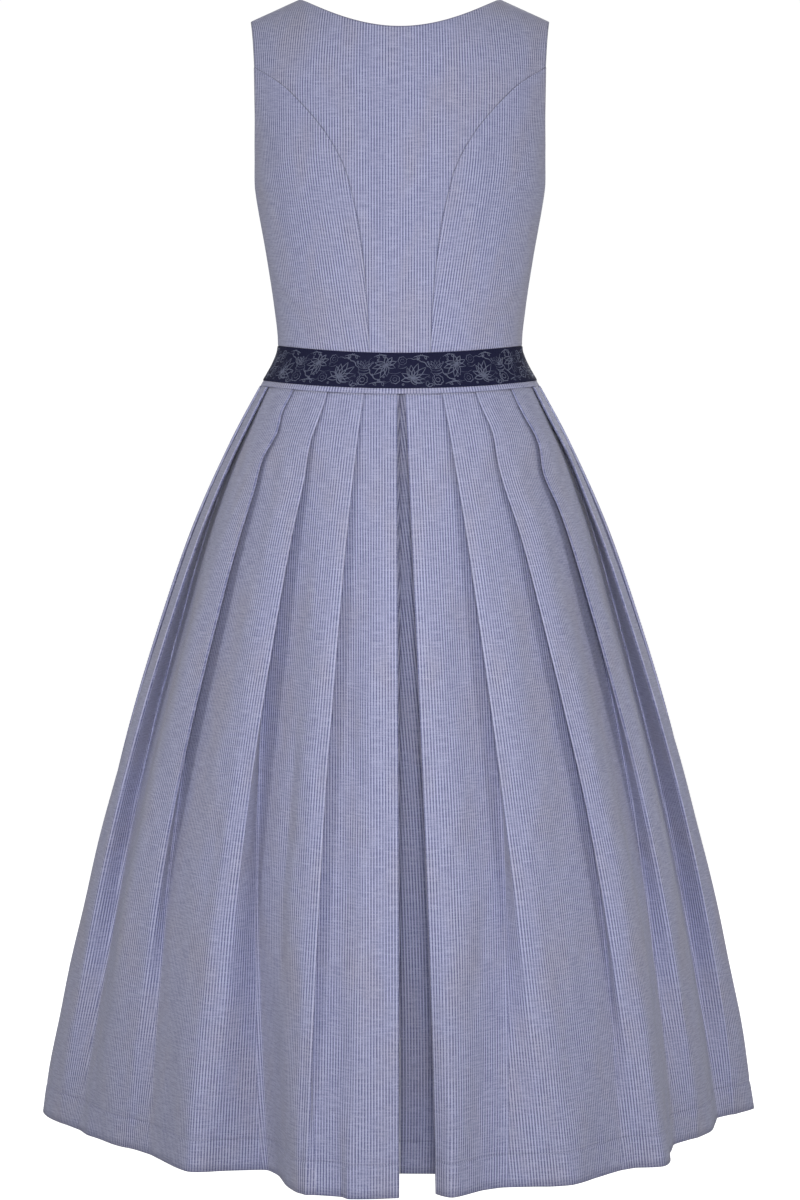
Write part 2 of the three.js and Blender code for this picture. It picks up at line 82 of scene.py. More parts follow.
# A stitching path's points, and the cloth's outward direction at each
Path = tuple[Array, Array]


class Half(Enum):
    """A half of the bodice, before or behind the side seams."""

    BACK = -1
    FRONT = 1


class Side(Enum):
    """A side of the dress, as the wearer has it, with its sign along X."""

    LEFT = -1
    RIGHT = 1


class Slot(Enum):
    """The material slots."""

    BODICE = "bodice_cotton"
    SKIRT = "skirt_cotton"
    RIBBON = "ribbon"
    BUTTONS = "buttons"


def mix(low: Array | float, high: Array | float, share: Array | float) -> Array | float:
    """A value between low and high."""
    return low + (high - low) * share


def eased(share: Array | float) -> Array:
    """A share from 0 to 1, slow at both ends."""
    held = np.clip(share, 0.0, 1.0)
    return held * held * (3.0 - 2.0 * held)


def lengths(vectors: Array) -> Array:
    """The vectors' lengths."""
    return np.linalg.norm(vectors, axis=-1)


def unit(vectors: Array) -> Array:
    """The vectors at length one."""
    return vectors / np.maximum(np.linalg.norm(vectors, axis=-1, keepdims=True), 1e-9)


class Column:
    """One column of a table of heights, on a smooth curve through its rows."""

    def __init__(self, rows: Sequence[Pair]) -> None:
        """Keeps the rows from the lowest up.

        Args:
            rows: Pairs of height and value.
        """
        table = np.array(sorted(rows), float)
        self.heights, self.values = table[:, 0], table[:, 1]
        place = np.arange(len(table))
        low, high = np.maximum(place - 1, 0), np.minimum(place + 1, len(table) - 1)
        self.slopes = (self.values[high] - self.values[low]) / (self.heights[high] - self.heights[low])

    def at(self, z: Array | float) -> Array:
        """The column's value at a height.

        Args:
            z: Heights.

        Returns:
            One value for each height.
        """
        i = np.clip(np.searchsorted(self.heights, z, side="left") - 1, 0, len(self.heights) - 2)
        span = self.heights[i + 1] - self.heights[i]
        s = np.clip((z - self.heights[i]) / span, 0.0, 1.0)
        rest = 1.0 - s
        return (
            self.values[i] * (1 + 2 * s) * rest**2
            + self.slopes[i] * span * s * rest**2
            + self.values[i + 1] * (3 - 2 * s) * s**2
            - self.slopes[i + 1] * span * s**2 * rest
        )


@dataclass(frozen=True)
class FormRow:
    """A level of the worn form: half its width, and its depth behind and in front of the middle."""

    z: float
    half: float
    back: float
    front: float


FORM_ROWS = [FormRow(*row) for row in (
    (60, 178, 100, 84),
    (-60, 178, 111, 106),
    (-115, 171, 114, 124),
    (-160, 163.5, 113, 138),
    (-200, 160.5, 111, 144),
    (-270, 148.5, 104, 128),
    (-330, 139.5, 99, 108),
    (-372, 136, 99, 100),
    (-390, 142, 106, 106),
    (-421, 160, 123, 122),
    (-475, 189, 153, 151),
    (-564, 230, 196, 194),
    (-654, 263, 230, 228),
    (-789, 306.5, 275, 272),
    (-925, 342.5, 315, 311),
    (-1061, 372, 349, 344),
    (-1153, 390, 370, 364),
    (-1232, 403, 385, 378),
)]


@dataclass
class WornForm:
    """The form that the cloth lies on, from the shoulders to the hem."""

    seam_gap: float = 0.3
    neck_point: Pair = (111, 11)
    shoulder_tip: Pair = (165, -13)
    shoulder_rounding: float = 115
    waist_z: float = -370
    waist_dip: float = 8.5
    dip_fades_at_z: float = -240
    hem_z: float = -1232

    def __post_init__(self) -> None:
        """Makes the smooth columns of the form's rows."""
        self.half = Column([(row.z, row.half) for row in FORM_ROWS])
        self.depths = {
            Half.BACK: Column([(row.z, row.back) for row in FORM_ROWS]),
            Half.FRONT: Column([(row.z, row.front) for row in FORM_ROWS]),
        }

    def dip(self, azimuth: Array, z: Array | float) -> Array:
        """How far the waist line lies below its side level, faded with height."""
        fade = np.clip((self.dip_fades_at_z - z) / (self.dip_fades_at_z - self.waist_z), 0, 1)
        return self.waist_dip * np.maximum(np.cos(azimuth), 0.0) ** 2 * fade

    def ridge(self, x: Array) -> Array:
        """The shoulder ridge's height over points across the body."""
        (near, high), (far, low) = self.neck_point, self.shoulder_tip
        return high - (np.abs(x) - near) * (high - low) / (far - near)

    def torso(self, azimuth: Array, z: Array, half: Half) -> Array:
        """Points of the bodice's outer face.

        Args:
            azimuth: Radians from the centre back or the centre front.
            z: Heights.
            half: The half of the bodice.

        Returns:
            The points, in millimetres.
        """
        x = self.half.at(z) * np.sin(azimuth)
        down = np.clip((self.ridge(x) - z) / self.shoulder_rounding, 0, 1)
        rounding = np.sqrt(1 - (1 - down) ** 2)
        depth = self.depths[half].at(z) * np.cos(azimuth) * rounding
        dip = self.dip(azimuth, z) if half is Half.BACK else 0.0
        return np.stack([x, half.value * (depth + self.seam_gap / 2), z - dip], axis=-1)

    def torso_normal(self, azimuth: Array, z: Array, half: Half) -> Array:
        """The outward normals of the bodice's outer face.

        Args:
            azimuth: Radians from the centre back or the centre front.
            z: Heights.
            half: The half of the bodice.

        Returns:
            Vectors of length one.
        """
        below = z - 2.0
        across = self.torso(azimuth + 0.01, below, half) - self.torso(azimuth - 0.01, below, half)
        up = self.torso(azimuth, below + 1.0, half) - self.torso(azimuth, below - 1.0, half)
        return unit(np.cross(across, up)) * -half.value

    def waist_line(self, azimuth: Array) -> Array:
        """The height of the waist line at azimuths from the centre back."""
        return self.waist_z - self.dip(azimuth, self.waist_z)

    def hip(self, azimuth: Array, z: Array, level: Array | float) -> Array:
        """Points outside the form below the waist.

        Args:
            azimuth: Radians from the centre back.
            z: Heights.
            level: Millimetres outside the form.

        Returns:
            The points, in millimetres.
        """
        facing = np.cos(azimuth)
        depth = np.where(facing < 0, self.depths[Half.FRONT].at(z), self.depths[Half.BACK].at(z))
        x = (self.half.at(z) + level) * np.sin(azimuth)
        return np.stack([x, -(depth + level) * facing, z + 0.0 * x], axis=-1)


@dataclass
class Cloth:
    """A wall of cloth: two grids of points in millimetres, and their place on the flat cloth."""

    outer: Array
    inner: Array
    across: Array
    down: Array
    # Painted shade at each point, from 0 to 1, along edges, seams and the hem
    shade: Array
    roll: float = 0.12
    pleated: bool = False

    @classmethod
    def between(cls, outer: Array, inner: Array, across: Array, down: Array, shade: Array) -> "Cloth":
        """A wall whose flat cloth runs on without a break."""
        return cls(outer, inner, np.stack([across[:, :-1], across[:, 1:]], axis=-1), down, shade)

    def rim(self) -> tuple[Array, Array]:
        """The grid's border as one loop, and the points of the rolled edge between the two faces."""
        rows, columns = self.outer.shape[:2]
        top = [(0, c) for c in range(columns)]
        far = [(r, columns - 1) for r in range(1, rows)]
        low = [(rows - 1, c) for c in range(columns - 2, -1, -1)]
        near = [(r, 0) for r in range(rows - 2, 0, -1)]
        loop = np.array(top + far + low + near)
        inside = (np.clip(loop[:, 0], 1, rows - 2), np.clip(loop[:, 1], 1, columns - 2))
        at = (loop[:, 0], loop[:, 1])
        away = unit(self.outer[at] - self.outer[inside])
        return loop, (self.outer[at] + self.inner[at]) / 2 + away * self.roll

    def make(self, name: str, finish: Material) -> Piece:
        """Builds the wall as one closed mesh with its place on the flat cloth as a UV map.

        Args:
            name: The piece's name.
            finish: Its material.

        Returns:
            The new object.
        """
        rows, columns = self.outer.shape[:2]
        count = rows * columns
        number = np.arange(count).reshape(rows, columns)
        loop, rolled = self.rim()
        points = np.concatenate([self.outer.reshape(-1, 3), self.inner.reshape(-1, 3), rolled]) * MM

        quads = number[:-1, :-1], number[:-1, 1:], number[1:, 1:], number[1:, :-1]
        cells = np.stack(quads, axis=-1).reshape(-1, 4)
        u = np.concatenate([self.across[:-1], self.across[1:, :, ::-1]], axis=-1).reshape(-1, 4)
        down = self.down.reshape(-1)
        edge = number[loop[:, 0], loop[:, 1]]
        after = np.roll(edge, -1)
        ring = 2 * count + np.arange(len(edge))
        ring_after = np.roll(ring, -1)
        outside = np.stack([after, edge, ring, ring_after], axis=-1)
        inside = np.stack([ring_after, ring, edge + count, after + count], axis=-1)

        cell = np.minimum(loop[:, 1], columns - 2)
        edge_u = self.across[loop[:, 0], cell, (loop[:, 1] > cell).astype(int)]
        after_u = np.roll(edge_u, -1)
        pair_u = np.stack([after_u, edge_u, edge_u, after_u], axis=-1)
        pair_v = np.stack([down[after], down[edge], down[edge], down[after]], axis=-1)

        faces = np.concatenate([cells, cells[:, ::-1] + count, outside, inside])
        flat_u = np.concatenate([u, u[:, ::-1], pair_u, pair_u])
        flat_v = np.concatenate([down[cells], down[cells[:, ::-1]], pair_v, pair_v])
        a, b, c, d = (points[faces[:, i]] for i in range(4))
        if (a * np.cross(b, c)).sum() + (a * np.cross(c, d)).sum() < 0:
            faces, flat_u, flat_v = faces[:, ::-1], flat_u[:, ::-1], flat_v[:, ::-1]

        mesh = bpy.data.meshes.new(name)
        mesh.from_pydata(points.tolist(), [], faces.tolist())
        layer = mesh.uv_layers.new(name=UV_NAME)
        layer.data.foreach_set("uv", np.stack([flat_u, flat_v], axis=-1).astype(np.float32).ravel() * MM)
        shade = self.shade.reshape(-1)
        # Keeps the painted shade as a point attribute for the cotton finish
        dark = mesh.attributes.new(SHADE_NAME, "FLOAT", "POINT")
        dark.data.foreach_set("value", np.concatenate([shade, shade, shade[edge]]).astype(np.float32))
        mesh.polygons.foreach_set("use_smooth", np.ones(len(faces), bool))
        mesh.materials.append(finish)
        mesh.update()
        return linked(name, mesh)


def linked(name: str, data: bpy.types.ID) -> Piece:
    """A new object in the scene.

    Args:
        name: Its name.
        data: Its mesh, light or camera.

    Returns:
        The object.
    """
    piece = bpy.data.objects.new(name, data)
    bpy.context.scene.collection.objects.link(piece)
    return piece


def solid(name: str, points: Array, faces: Sequence[Sequence[int]], finish: Material) -> Piece:
    """A smooth mesh object from points in millimetres.

    Args:
        name: The piece's name.
        points: The points.
        faces: The points of each face, facing outwards.
        finish: Its material.

    Returns:
        The new object.
    """
    mesh = bpy.data.meshes.new(name)
    mesh.from_pydata((points * MM).tolist(), [], faces)
    mesh.polygons.foreach_set("use_smooth", np.ones(len(mesh.polygons), bool))
    mesh.materials.append(finish)
    return linked(name, mesh)


def place(piece: Piece, slot: Slot, *nodes: str) -> Piece:
    """Rides a piece on the dress, for the solids that it stands for.

    Args:
        piece: The finished piece.
        slot: The slot of its finish; not used.
        nodes: The solids that it replaces.

    Returns:
        The same piece.
    """
    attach(piece, ROOT)
    if nodes:
        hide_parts(*nodes)
    triangles = sum(len(face.vertices) - 2 for face in piece.data.polygons)
    LOG.info("%s: %d triangles", piece.name, triangles)
    return piece


def lay(cloth: Cloth, node: str, finish: Material, slot: Slot) -> None:
    """Builds a cloth piece in its solid's place.

    Args:
        cloth: Its wall.
        node: The solid that it replaces.
        finish: Its material.
        slot: The slot of its finish.
    """
    piece = place(cloth.make(f"{node}_cloth", finish), slot, node)


class Nodes:
    """A short way to add and join nodes in a tree."""

    def __init__(self, tree: bpy.types.NodeTree) -> None:
        """Works on a tree."""
        self.tree = tree

    def add(self, kind: str, inputs: dict[str | int, object] | None = None, **settings: object) -> Node:
        """Adds a node.

        Args:
            kind: The node's type.
            inputs: Values or sockets for its inputs, by name or place.
            settings: Properties of the node.

        Returns:
            The new node.
        """
        node = self.tree.nodes.new(kind)
        for name, value in settings.items():
            setattr(node, name, value)
        for name, value in (inputs or {}).items():
            self.give(value, node, name)
        return node

    def give(self, value: object, node: Node, name: str | int) -> None:
        """Gives a node's input a value, or the output of another node.

        Args:
            value: The value or output.
            node: The node.
            name: The input's name or place.
        """
        if isinstance(value, Socket):
            self.tree.links.new(value, node.inputs[name])
        else:
            node.inputs[name].default_value = value

    def math(self, operation: str, *values: object) -> Socket:
        """The result of a sum on numbers or sockets."""
        return self.add("ShaderNodeMath", dict(enumerate(values)), operation=operation).outputs[0]

    def plus(self, one: object, two: object) -> Socket:
        """Two values added."""
        return self.math("ADD", one, two)

    def minus(self, one: object, two: object) -> Socket:
        """One value less another."""
        return self.math("SUBTRACT", one, two)

    def times(self, one: object, two: object) -> Socket:
        """Two values multiplied."""
        return self.math("MULTIPLY", one, two)

    def vector(self, x: object = 0.0, y: object = 0.0, z: object = 0.0) -> Socket:
        """A vector from three numbers or sockets."""
        return self.add("ShaderNodeCombineXYZ", {0: x, 1: y, 2: z}).outputs[0]

    def scaled(self, u: Socket, v: Socket, scales: Pair) -> Socket:
        """A place on the cloth, scaled across and down it."""
        return self.vector(self.times(u, scales[0]), self.times(v, scales[1]))

    def spread(self, value: object, low: float, high: float, to_low: float, to_high: float) -> Socket:
        """A value mapped smoothly from one range to another."""
        inputs = {"Value": value, "From Min": low, "From Max": high, "To Min": to_low, "To Max": to_high}
        return self.add("ShaderNodeMapRange", inputs, interpolation_type="SMOOTHSTEP").outputs[0]

    def noise(self, at: object, scale: object = 1.0, detail: float = 2.0) -> Socket:
        """Soft noise at a vector."""
        return self.add("ShaderNodeTexNoise", {"Vector": at, "Scale": scale, "Detail": detail}).outputs[0]

    def blend(self, share: object, first: object, second: object, kind: str = "MIX") -> Socket:
        """A mix of two colours."""
        node = self.add("ShaderNodeMix", data_type="RGBA", blend_type=kind, clamp_factor=True)
        for number, value in ((0, share), (6, first), (7, second)):
            self.give(value, node, number)
        return node.outputs[2]


def new_group(
    name: str, inputs: dict[str, tuple[str, object]], outputs: dict[str, str]
) -> tuple[Nodes, dict[str, Socket], Node]:
    """Starts a shader node group.

    Args:
        name: The group's name.
        inputs: Socket type and first value of each input.
        outputs: Socket type of each output.

    Returns:
        The tree's nodes, the input sockets by name, and the output node.
    """
    tree = bpy.data.node_groups.new(name, "ShaderNodeTree")
    for label, (kind, value) in inputs.items():
        socket = tree.interface.new_socket(label, in_out="INPUT", socket_type=kind)
        if value is not None:
            socket.default_value = value
    for label, kind in outputs.items():
        tree.interface.new_socket(label, in_out="OUTPUT", socket_type=kind)
    start = tree.nodes.new("NodeGroupInput")
    return Nodes(tree), {label: start.outputs[label] for label in inputs}, tree.nodes.new("NodeGroupOutput")


# Scales of the yarn's unevenness across and down the cloth, for places in metres
STRAY_SCALES = (60.0, 7.0)
YARN_SCALES = (3.0, 60.0)
FLECK_SCALES = (760.0, 620.0)
CLOUD_SCALES = (20.0, 9.0)
WEFT_SCALES = (62.0, 640.0)
CLEAR_SCALES = (75.0, 26.0)
WARP_TURN = 2 * math.pi / 0.00052
PICK_TURN = 2 * math.pi / 0.00064
BROAD_SCALE = 35.0


class Effects:
    """Surface effects that more than one finish uses."""

    @staticmethod
    def pinstripe() -> bpy.types.NodeTree:
        """Woven stripes of heathered yarn: their colour, and their height as ribs and yarns."""
        nodes, given, end = new_group(
            "Woven pinstripe",
            {
                "At": ("NodeSocketVector", None),
                "Pitch": ("NodeSocketFloat", 0.0031),
                "Pale": ("NodeSocketColor", (0.49, 0.51, 0.7, 1)),
                "Deep": ("NodeSocketColor", (0.16, 0.17, 0.31, 1)),
                "Heather": ("NodeSocketFloat", 0.5),
                "Slub": ("NodeSocketFloat", 0.5),
                "Contrast": ("NodeSocketFloat", 0.7),
            },
            {"Color": "NodeSocketColor", "Height": "NodeSocketFloat"},
        )
        times, plus, minus = nodes.times, nodes.plus, nodes.minus
        split = nodes.add("ShaderNodeSeparateXYZ", {0: given["At"]})
        u, v = split.outputs[0], split.outputs[1]
        stray = nodes.noise(nodes.scaled(u, v, STRAY_SCALES))
        wander = times(minus(stray, 0.5), 0.24)
        phase = plus(nodes.math("DIVIDE", u, given["Pitch"]), wander)
        stripe = nodes.spread(nodes.math("PINGPONG", phase, 0.5), 0.17, 0.33, 0.0, 1.0)

        yarn = nodes.noise(nodes.scaled(phase, v, YARN_SCALES))
        fleck = nodes.noise(nodes.scaled(u, v, FLECK_SCALES), detail=1.0)
        cloud = nodes.noise(nodes.scaled(u, v, CLOUD_SCALES), detail=3.0)
        weft = nodes.noise(nodes.scaled(u, v, WEFT_SCALES), detail=3.0)
        slub = times(nodes.spread(weft, 0.5, 0.72, 0.0, 1.0), given["Slub"])
        streak = times(minus(weft, 0.5), given["Slub"])

        yarns = times(minus(yarn, 0.5), 0.6)
        heather = plus(yarns, times(minus(fleck, 0.5), 1.1))
        heather = times(heather, given["Heather"])
        patch = times(minus(cloud, 0.5), 0.3)
        clear = nodes.noise(nodes.scaled(u, v, CLEAR_SCALES), detail=3.0)
        clear = times(nodes.spread(clear, 0.34, 0.62, 0.5, 1.12), given["Contrast"])
        share = plus(times(minus(stripe, 0.5), clear), 0.5)
        share = plus(share, times(minus(0.55, share), times(slub, 0.6)))
        share = plus(share, times(streak, 1.1))
        share = plus(share, plus(heather, patch))
        woven = nodes.blend(share, given["Deep"], given["Pale"])
        warmth = nodes.spread(cloud, 0.42, 0.68, 0.0, 0.7)
        nodes.give(nodes.blend(warmth, woven, (0.94, 0.9, 0.84, 1), "MULTIPLY"), end, "Color")

        warp = nodes.math("SINE", times(u, WARP_TURN))
        pick = nodes.math("SINE", times(v, PICK_TURN))
        height = plus(times(stripe, 0.6), times(times(warp, pick), 0.16))
        height = plus(height, times(slub, 0.5))
        nodes.give(plus(height, times(fleck, 0.35)), end, "Height")
        return nodes.tree

    @staticmethod
    def grain() -> bpy.types.NodeTree:
        """Fine uneven colour and height, for thread, ribbon and metal."""
        nodes, given, end = new_group(
            "Fine grain",
            {
                "At": ("NodeSocketVector", None),
                "Scale": ("NodeSocketFloat", 400.0),
                "Base": ("NodeSocketColor", (0.5, 0.5, 0.5, 1)),
                "Light": ("NodeSocketColor", (0.6, 0.6, 0.6, 1)),
            },
            {"Color": "NodeSocketColor", "Height": "NodeSocketFloat"},
        )
        fine = nodes.noise(given["At"], given["Scale"], 3.0)
        broad = nodes.noise(given["At"], BROAD_SCALE, 3.0)
        share = nodes.plus(nodes.spread(fine, 0.35, 0.7, 0.0, 0.8), nodes.times(broad, 0.2))
        nodes.give(nodes.blend(share, given["Base"], given["Light"]), end, "Color")
        nodes.give(fine, end, "Height")
        return nodes.tree


def new_material(name: str) -> tuple[Material, Nodes, Node]:
    """A material with its Principled shader.

    Args:
        name: The material's name.

    Returns:
        The material, its tree's nodes and the shader.
    """
    material = bpy.data.materials.new(name)
    material.use_nodes = True
    return material, Nodes(material.node_tree), material.node_tree.nodes["Principled BSDF"]


def dress_shader(
    nodes: Nodes, shader: Node, colour: Socket, rough: Socket, height: Socket, relief: float
) -> None:
    """Gives a shader its colour, roughness and relief.

    Args:
        nodes: The material's nodes.
        shader: The shader.
        colour: Its colour.
        rough: Its roughness.
        height: The surface's height, as a share of the relief.
        relief: The relief's depth, in millimetres.
    """
    bump = nodes.add("ShaderNodeBump", {"Strength": 0.5, "Distance": relief * MM, "Height": height})
    for value, name in ((colour, "Base Color"), (rough, "Roughness"), (bump.outputs[0], "Normal")):
        nodes.give(value, shader, name)


@dataclass(frozen=True)
class PinstripeCotton:
    """Matt cotton with fine woven stripes, in heathered lavender and blue-grey yarn."""

    name: str
    pale: Three = (0.51, 0.525, 0.735)
    deep: Three = (0.16, 0.17, 0.315)
    # Colour of the painted shade along edges, seams and the hem
    edge: Three = (0.07, 0.07, 0.14)
    # grey and greying: a warm grey cast at grazing angles, a painted sheen
    grey: Three = (1.02, 1.0, 0.88)
    greying: float = 0.6
    pitch: float = 3.1
    heather: float = 0.5
    slub: float = 0.7
    contrast: float = 0.84
    far_contrast: float = 0.35
    relief: float = 0.25

    def material(self) -> Material:
        """Builds the finish on the cloth's own UV map."""
        material, nodes, shader = new_material(self.name)
        turned_away = nodes.add("ShaderNodeLayerWeight", {"Blend": 0.5}).outputs["Facing"]
        far = self.far_contrast * self.contrast
        inputs = {
            "At": nodes.add("ShaderNodeUVMap", uv_map=UV_NAME).outputs[0],
            "Pitch": self.pitch * MM,
            "Pale": (*self.pale, 1),
            "Deep": (*self.deep, 1),
            "Heather": self.heather,
            "Slub": self.slub,
            "Contrast": nodes.spread(turned_away, 0.3, 0.7, self.contrast, far),
        }
        weave = nodes.add("ShaderNodeGroup", inputs, node_tree=Effects.pinstripe())
        rough = nodes.spread(weave.outputs["Height"], 0.0, 1.2, 0.92, 0.8)
        # Painted shade: the colour blends towards the edge colour where the attribute is set, along edges,
        # seams and the hem
        turned = nodes.add("ShaderNodeAttribute", attribute_name=SHADE_NAME).outputs["Fac"]
        # Painted sheen: the colour turns a warm grey where the cloth turns away from the camera
        oblique = nodes.spread(turned_away, 0.15, 0.6, 0.0, self.greying)
        colour = nodes.blend(oblique, weave.outputs["Color"], (*self.grey, 1), "MULTIPLY")
        colour = nodes.blend(turned, colour, (*self.edge, 1))
        dress_shader(nodes, shader, colour, rough, weave.outputs["Height"], self.relief)
        nodes.give(0.25, shader, "Specular IOR Level")
        nodes.give(0.16, shader, "Sheen Weight")
        nodes.give(0.45, shader, "Sheen Roughness")
        return material


@dataclass(frozen=True)
class GrainedFinish:
    """Thread or metal with fine uneven colour."""

    name: str
    base: Three
    light: Three
    roughness: Pair
    scale: float
    relief: float
    metallic: float = 0.0

    def material(self) -> Material:
        """Builds the finish on the piece's own coordinates."""
        material, nodes, shader = new_material(self.name)
        at = nodes.add("ShaderNodeTexCoord").outputs["Object"]
        inputs = {"At": at, "Scale": self.scale, "Base": (*self.base, 1), "Light": (*self.light, 1)}
        colour, height = nodes.add("ShaderNodeGroup", inputs, node_tree=Effects.grain()).outputs
        rough = nodes.spread(height, 0.3, 0.75, *self.roughness)
        dress_shader(nodes, shader, colour, rough, height, self.relief)
        nodes.give(self.metallic, shader, "Metallic")
        return material


@dataclass(frozen=True)
class RibbonCloth:
    """Navy ribbon in a fine twill, a little lighter where its ribs catch the light."""

    name: str = "Navy ribbon twill"
    base: Three = (0.0052, 0.0058, 0.026)
    light: Three = (0.014, 0.0155, 0.052)
    scale: float = 900.0
    rib: float = 0.55
    relief: float = 0.12

    def material(self) -> Material:
        """Builds the twill on the ribbon's own UV map."""
        material, nodes, shader = new_material(self.name)
        at = nodes.add("ShaderNodeUVMap", uv_map=UV_NAME).outputs[0]
        split = nodes.add("ShaderNodeSeparateXYZ", {0: at})
        slope = nodes.plus(split.outputs[0], split.outputs[1])
        wave = nodes.math("SINE", nodes.times(slope, 2 * math.pi / (self.rib * MM)))
        rib = nodes.spread(wave, -1.0, 1.0, 0.0, 1.0)
        inputs = {"At": at, "Scale": self.scale, "Base": (*self.base, 1), "Light": (*self.light, 1)}
        grained, fine = nodes.add("ShaderNodeGroup", inputs, node_tree=Effects.grain()).outputs
        colour = nodes.blend(nodes.times(rib, 0.35), grained, (*self.light, 1))
        height = nodes.plus(rib, nodes.times(fine, 0.5))
        dress_shader(nodes, shader, colour, nodes.spread(height, 0.0, 1.5, 0.72, 0.5), height, self.relief)
        nodes.give(0.14, shader, "Specular IOR Level")
        return material


@dataclass(frozen=True)
class Finishes:
    """Every finish on the dress."""

    bodice: Material
    skirt: Material
    ribbon: Material
    flowers: Material
    cotton_thread: Material
    navy_thread: Material
    pewter: Material

    @classmethod
    def build(cls) -> "Finishes":
        """Builds all the materials."""
        lavender = (0.4, 0.41, 0.6), (0.53, 0.54, 0.74)
        navy = (0.012, 0.013, 0.035), (0.03, 0.03, 0.07)
        steel_blue = (0.1, 0.115, 0.18), (0.19, 0.21, 0.31)
        pewter = (0.30, 0.305, 0.32), (0.52, 0.525, 0.54)
        satin = (0.7, 0.5)
        return cls(
            bodice=PinstripeCotton("Pinstriped bodice cotton").material(),
            skirt=PinstripeCotton("Pinstriped skirt cotton", heather=0.6, slub=0.75).material(),
            ribbon=RibbonCloth().material(),
            flowers=GrainedFinish("Steel-blue woven flowers", *steel_blue, satin, 1800, 0.06).material(),
            cotton_thread=GrainedFinish("Lavender sewing thread", *lavender, satin, 2500, 0.05).material(),
            navy_thread=GrainedFinish("Navy sewing thread", *navy, (0.6, 0.45), 2500, 0.05).material(),
            pewter=GrainedFinish("Dull pewter", *pewter, (0.46, 0.3), 900, 0.05, 1.0).material(),
        )


@dataclass(frozen=True)
class Stitch:
    """How a row of stitches is sewn, in millimetres."""

    pitch: float
    length: float
    thread: float
    turn: float = 0.0


class Sewing:
    """Rows of stitches, laid one after another along paths on the cloth."""

    def __init__(self) -> None:
        """Builds the node tree that lays stitches."""
        tree = bpy.data.node_groups.new("Row of stitches", "GeometryNodeTree")
        face = tree.interface
        face.new_socket("Geometry", in_out="INPUT", socket_type="NodeSocketGeometry")
        for label in ("Pitch", "Length", "Thread", "Turn"):
            face.new_socket(label, in_out="INPUT", socket_type="NodeSocketFloat")
        face.new_socket("Material", in_out="INPUT", socket_type="NodeSocketMaterial")
        face.new_socket("Geometry", in_out="OUTPUT", socket_type="NodeSocketGeometry")
        nodes = Nodes(tree)
        start, end = tree.nodes.new("NodeGroupInput"), tree.nodes.new("NodeGroupOutput")
        given = start.outputs

        path = nodes.add("GeometryNodeMeshToCurve", {"Mesh": given["Geometry"]})
        spaced = nodes.add("GeometryNodeResampleCurve", {"Curve": path.outputs[0]}, mode="LENGTH")
        nodes.give(given["Pitch"], spaced, "Length")
        thread = nodes.add("GeometryNodeMeshUVSphere", {"Segments": 6, "Rings": 4, "Radius": 0.5})
        tangent = nodes.add("GeometryNodeInputTangent").outputs[0]
        named = nodes.add("GeometryNodeInputNamedAttribute", {"Name": LIE_NAME}, data_type="FLOAT_VECTOR")
        along = nodes.add("FunctionNodeAlignRotationToVector", {"Vector": tangent}, axis="X")
        flat = nodes.add(
            "FunctionNodeAlignRotationToVector",
            {"Rotation": along.outputs[0], "Vector": named.outputs[0]},
            axis="Z",
            pivot_axis="X",
        )
        turn = nodes.add("FunctionNodeEulerToRotation", {0: nodes.vector(z=given["Turn"])}).outputs[0]
        turned = nodes.add(
            "FunctionNodeRotateRotation", {0: flat.outputs[0], 1: turn}, rotation_space="LOCAL"
        ).outputs[0]
        uneven = nodes.add("FunctionNodeRandomValue", {2: 0.9, 3: 1.08, "Seed": 7}, data_type="FLOAT")
        length = nodes.times(given["Length"], uneven.outputs[1])
        size = nodes.vector(length, given["Thread"], nodes.times(given["Thread"], 0.8))
        inputs = {"Points": spaced.outputs[0], "Instance": thread.outputs["Mesh"]}
        rows = nodes.add("GeometryNodeInstanceOnPoints", inputs | {"Rotation": turned, "Scale": size})
        real = nodes.add("GeometryNodeRealizeInstances", {"Geometry": rows.outputs[0]})
        smooth = nodes.add("GeometryNodeSetShadeSmooth", {"Geometry": real.outputs[0]})
        inputs = {"Geometry": smooth.outputs[0], "Material": given["Material"]}
        dressed = nodes.add("GeometryNodeSetMaterial", inputs)
        nodes.give(dressed.outputs[0], end, "Geometry")
        self.tree = tree

    def sew(self, name: str, paths: Sequence[Path], stitch: Stitch, finish: Material, slot: Slot) -> None:
        """Sews stitches along paths, leaves them as one plain mesh and rides them on the dress.

        Args:
            name: The piece's name.
            paths: The paths, in millimetres.
            stitch: The stitches' size.
            finish: The thread's material.
            slot: The slot of its finish.
        """
        points = np.concatenate([path for path, _ in paths])
        lies = np.concatenate([lie for _, lie in paths])
        edges, first = [], 0
        for path, _ in paths:
            edges += [(first + i, first + i + 1) for i in range(len(path) - 1)]
            first += len(path)
        mesh = bpy.data.meshes.new(name)
        mesh.from_pydata((points * MM).tolist(), edges, [])
        held = mesh.attributes.new(LIE_NAME, "FLOAT_VECTOR", "POINT")
        held.data.foreach_set("vector", lies.astype(np.float32).ravel())
        piece = linked(name, mesh)
        modifier = piece.modifiers.new("Stitches", "NODES")
        modifier.node_group = self.tree
        values = {
            "Pitch": stitch.pitch * MM,
            "Length": stitch.length * MM,
            "Thread": stitch.thread * MM,
            "Turn": stitch.turn,
            "Material": finish,
        }
        for item in self.tree.interface.items_tree:
            if item.in_out == "INPUT" and item.name in values:
                modifier[item.identifier] = values[item.name]
        scene_now = bpy.context.evaluated_depsgraph_get()
        sewn = bpy.data.meshes.new_from_object(piece.evaluated_get(scene_now))
        piece.modifiers.clear()
        piece.data = sewn
        bpy.data.meshes.remove(mesh)
        place(piece, slot)


def wall_path(cloth: Cloth, at: tuple[int | slice, int | slice], lift: float) -> Path:
    """A stitching path on a wall, at its row and columns or its rows and column, lifted off its face."""
    away = unit(cloth.outer[at] - cloth.inner[at])
    return cloth.outer[at] + away * lift, away


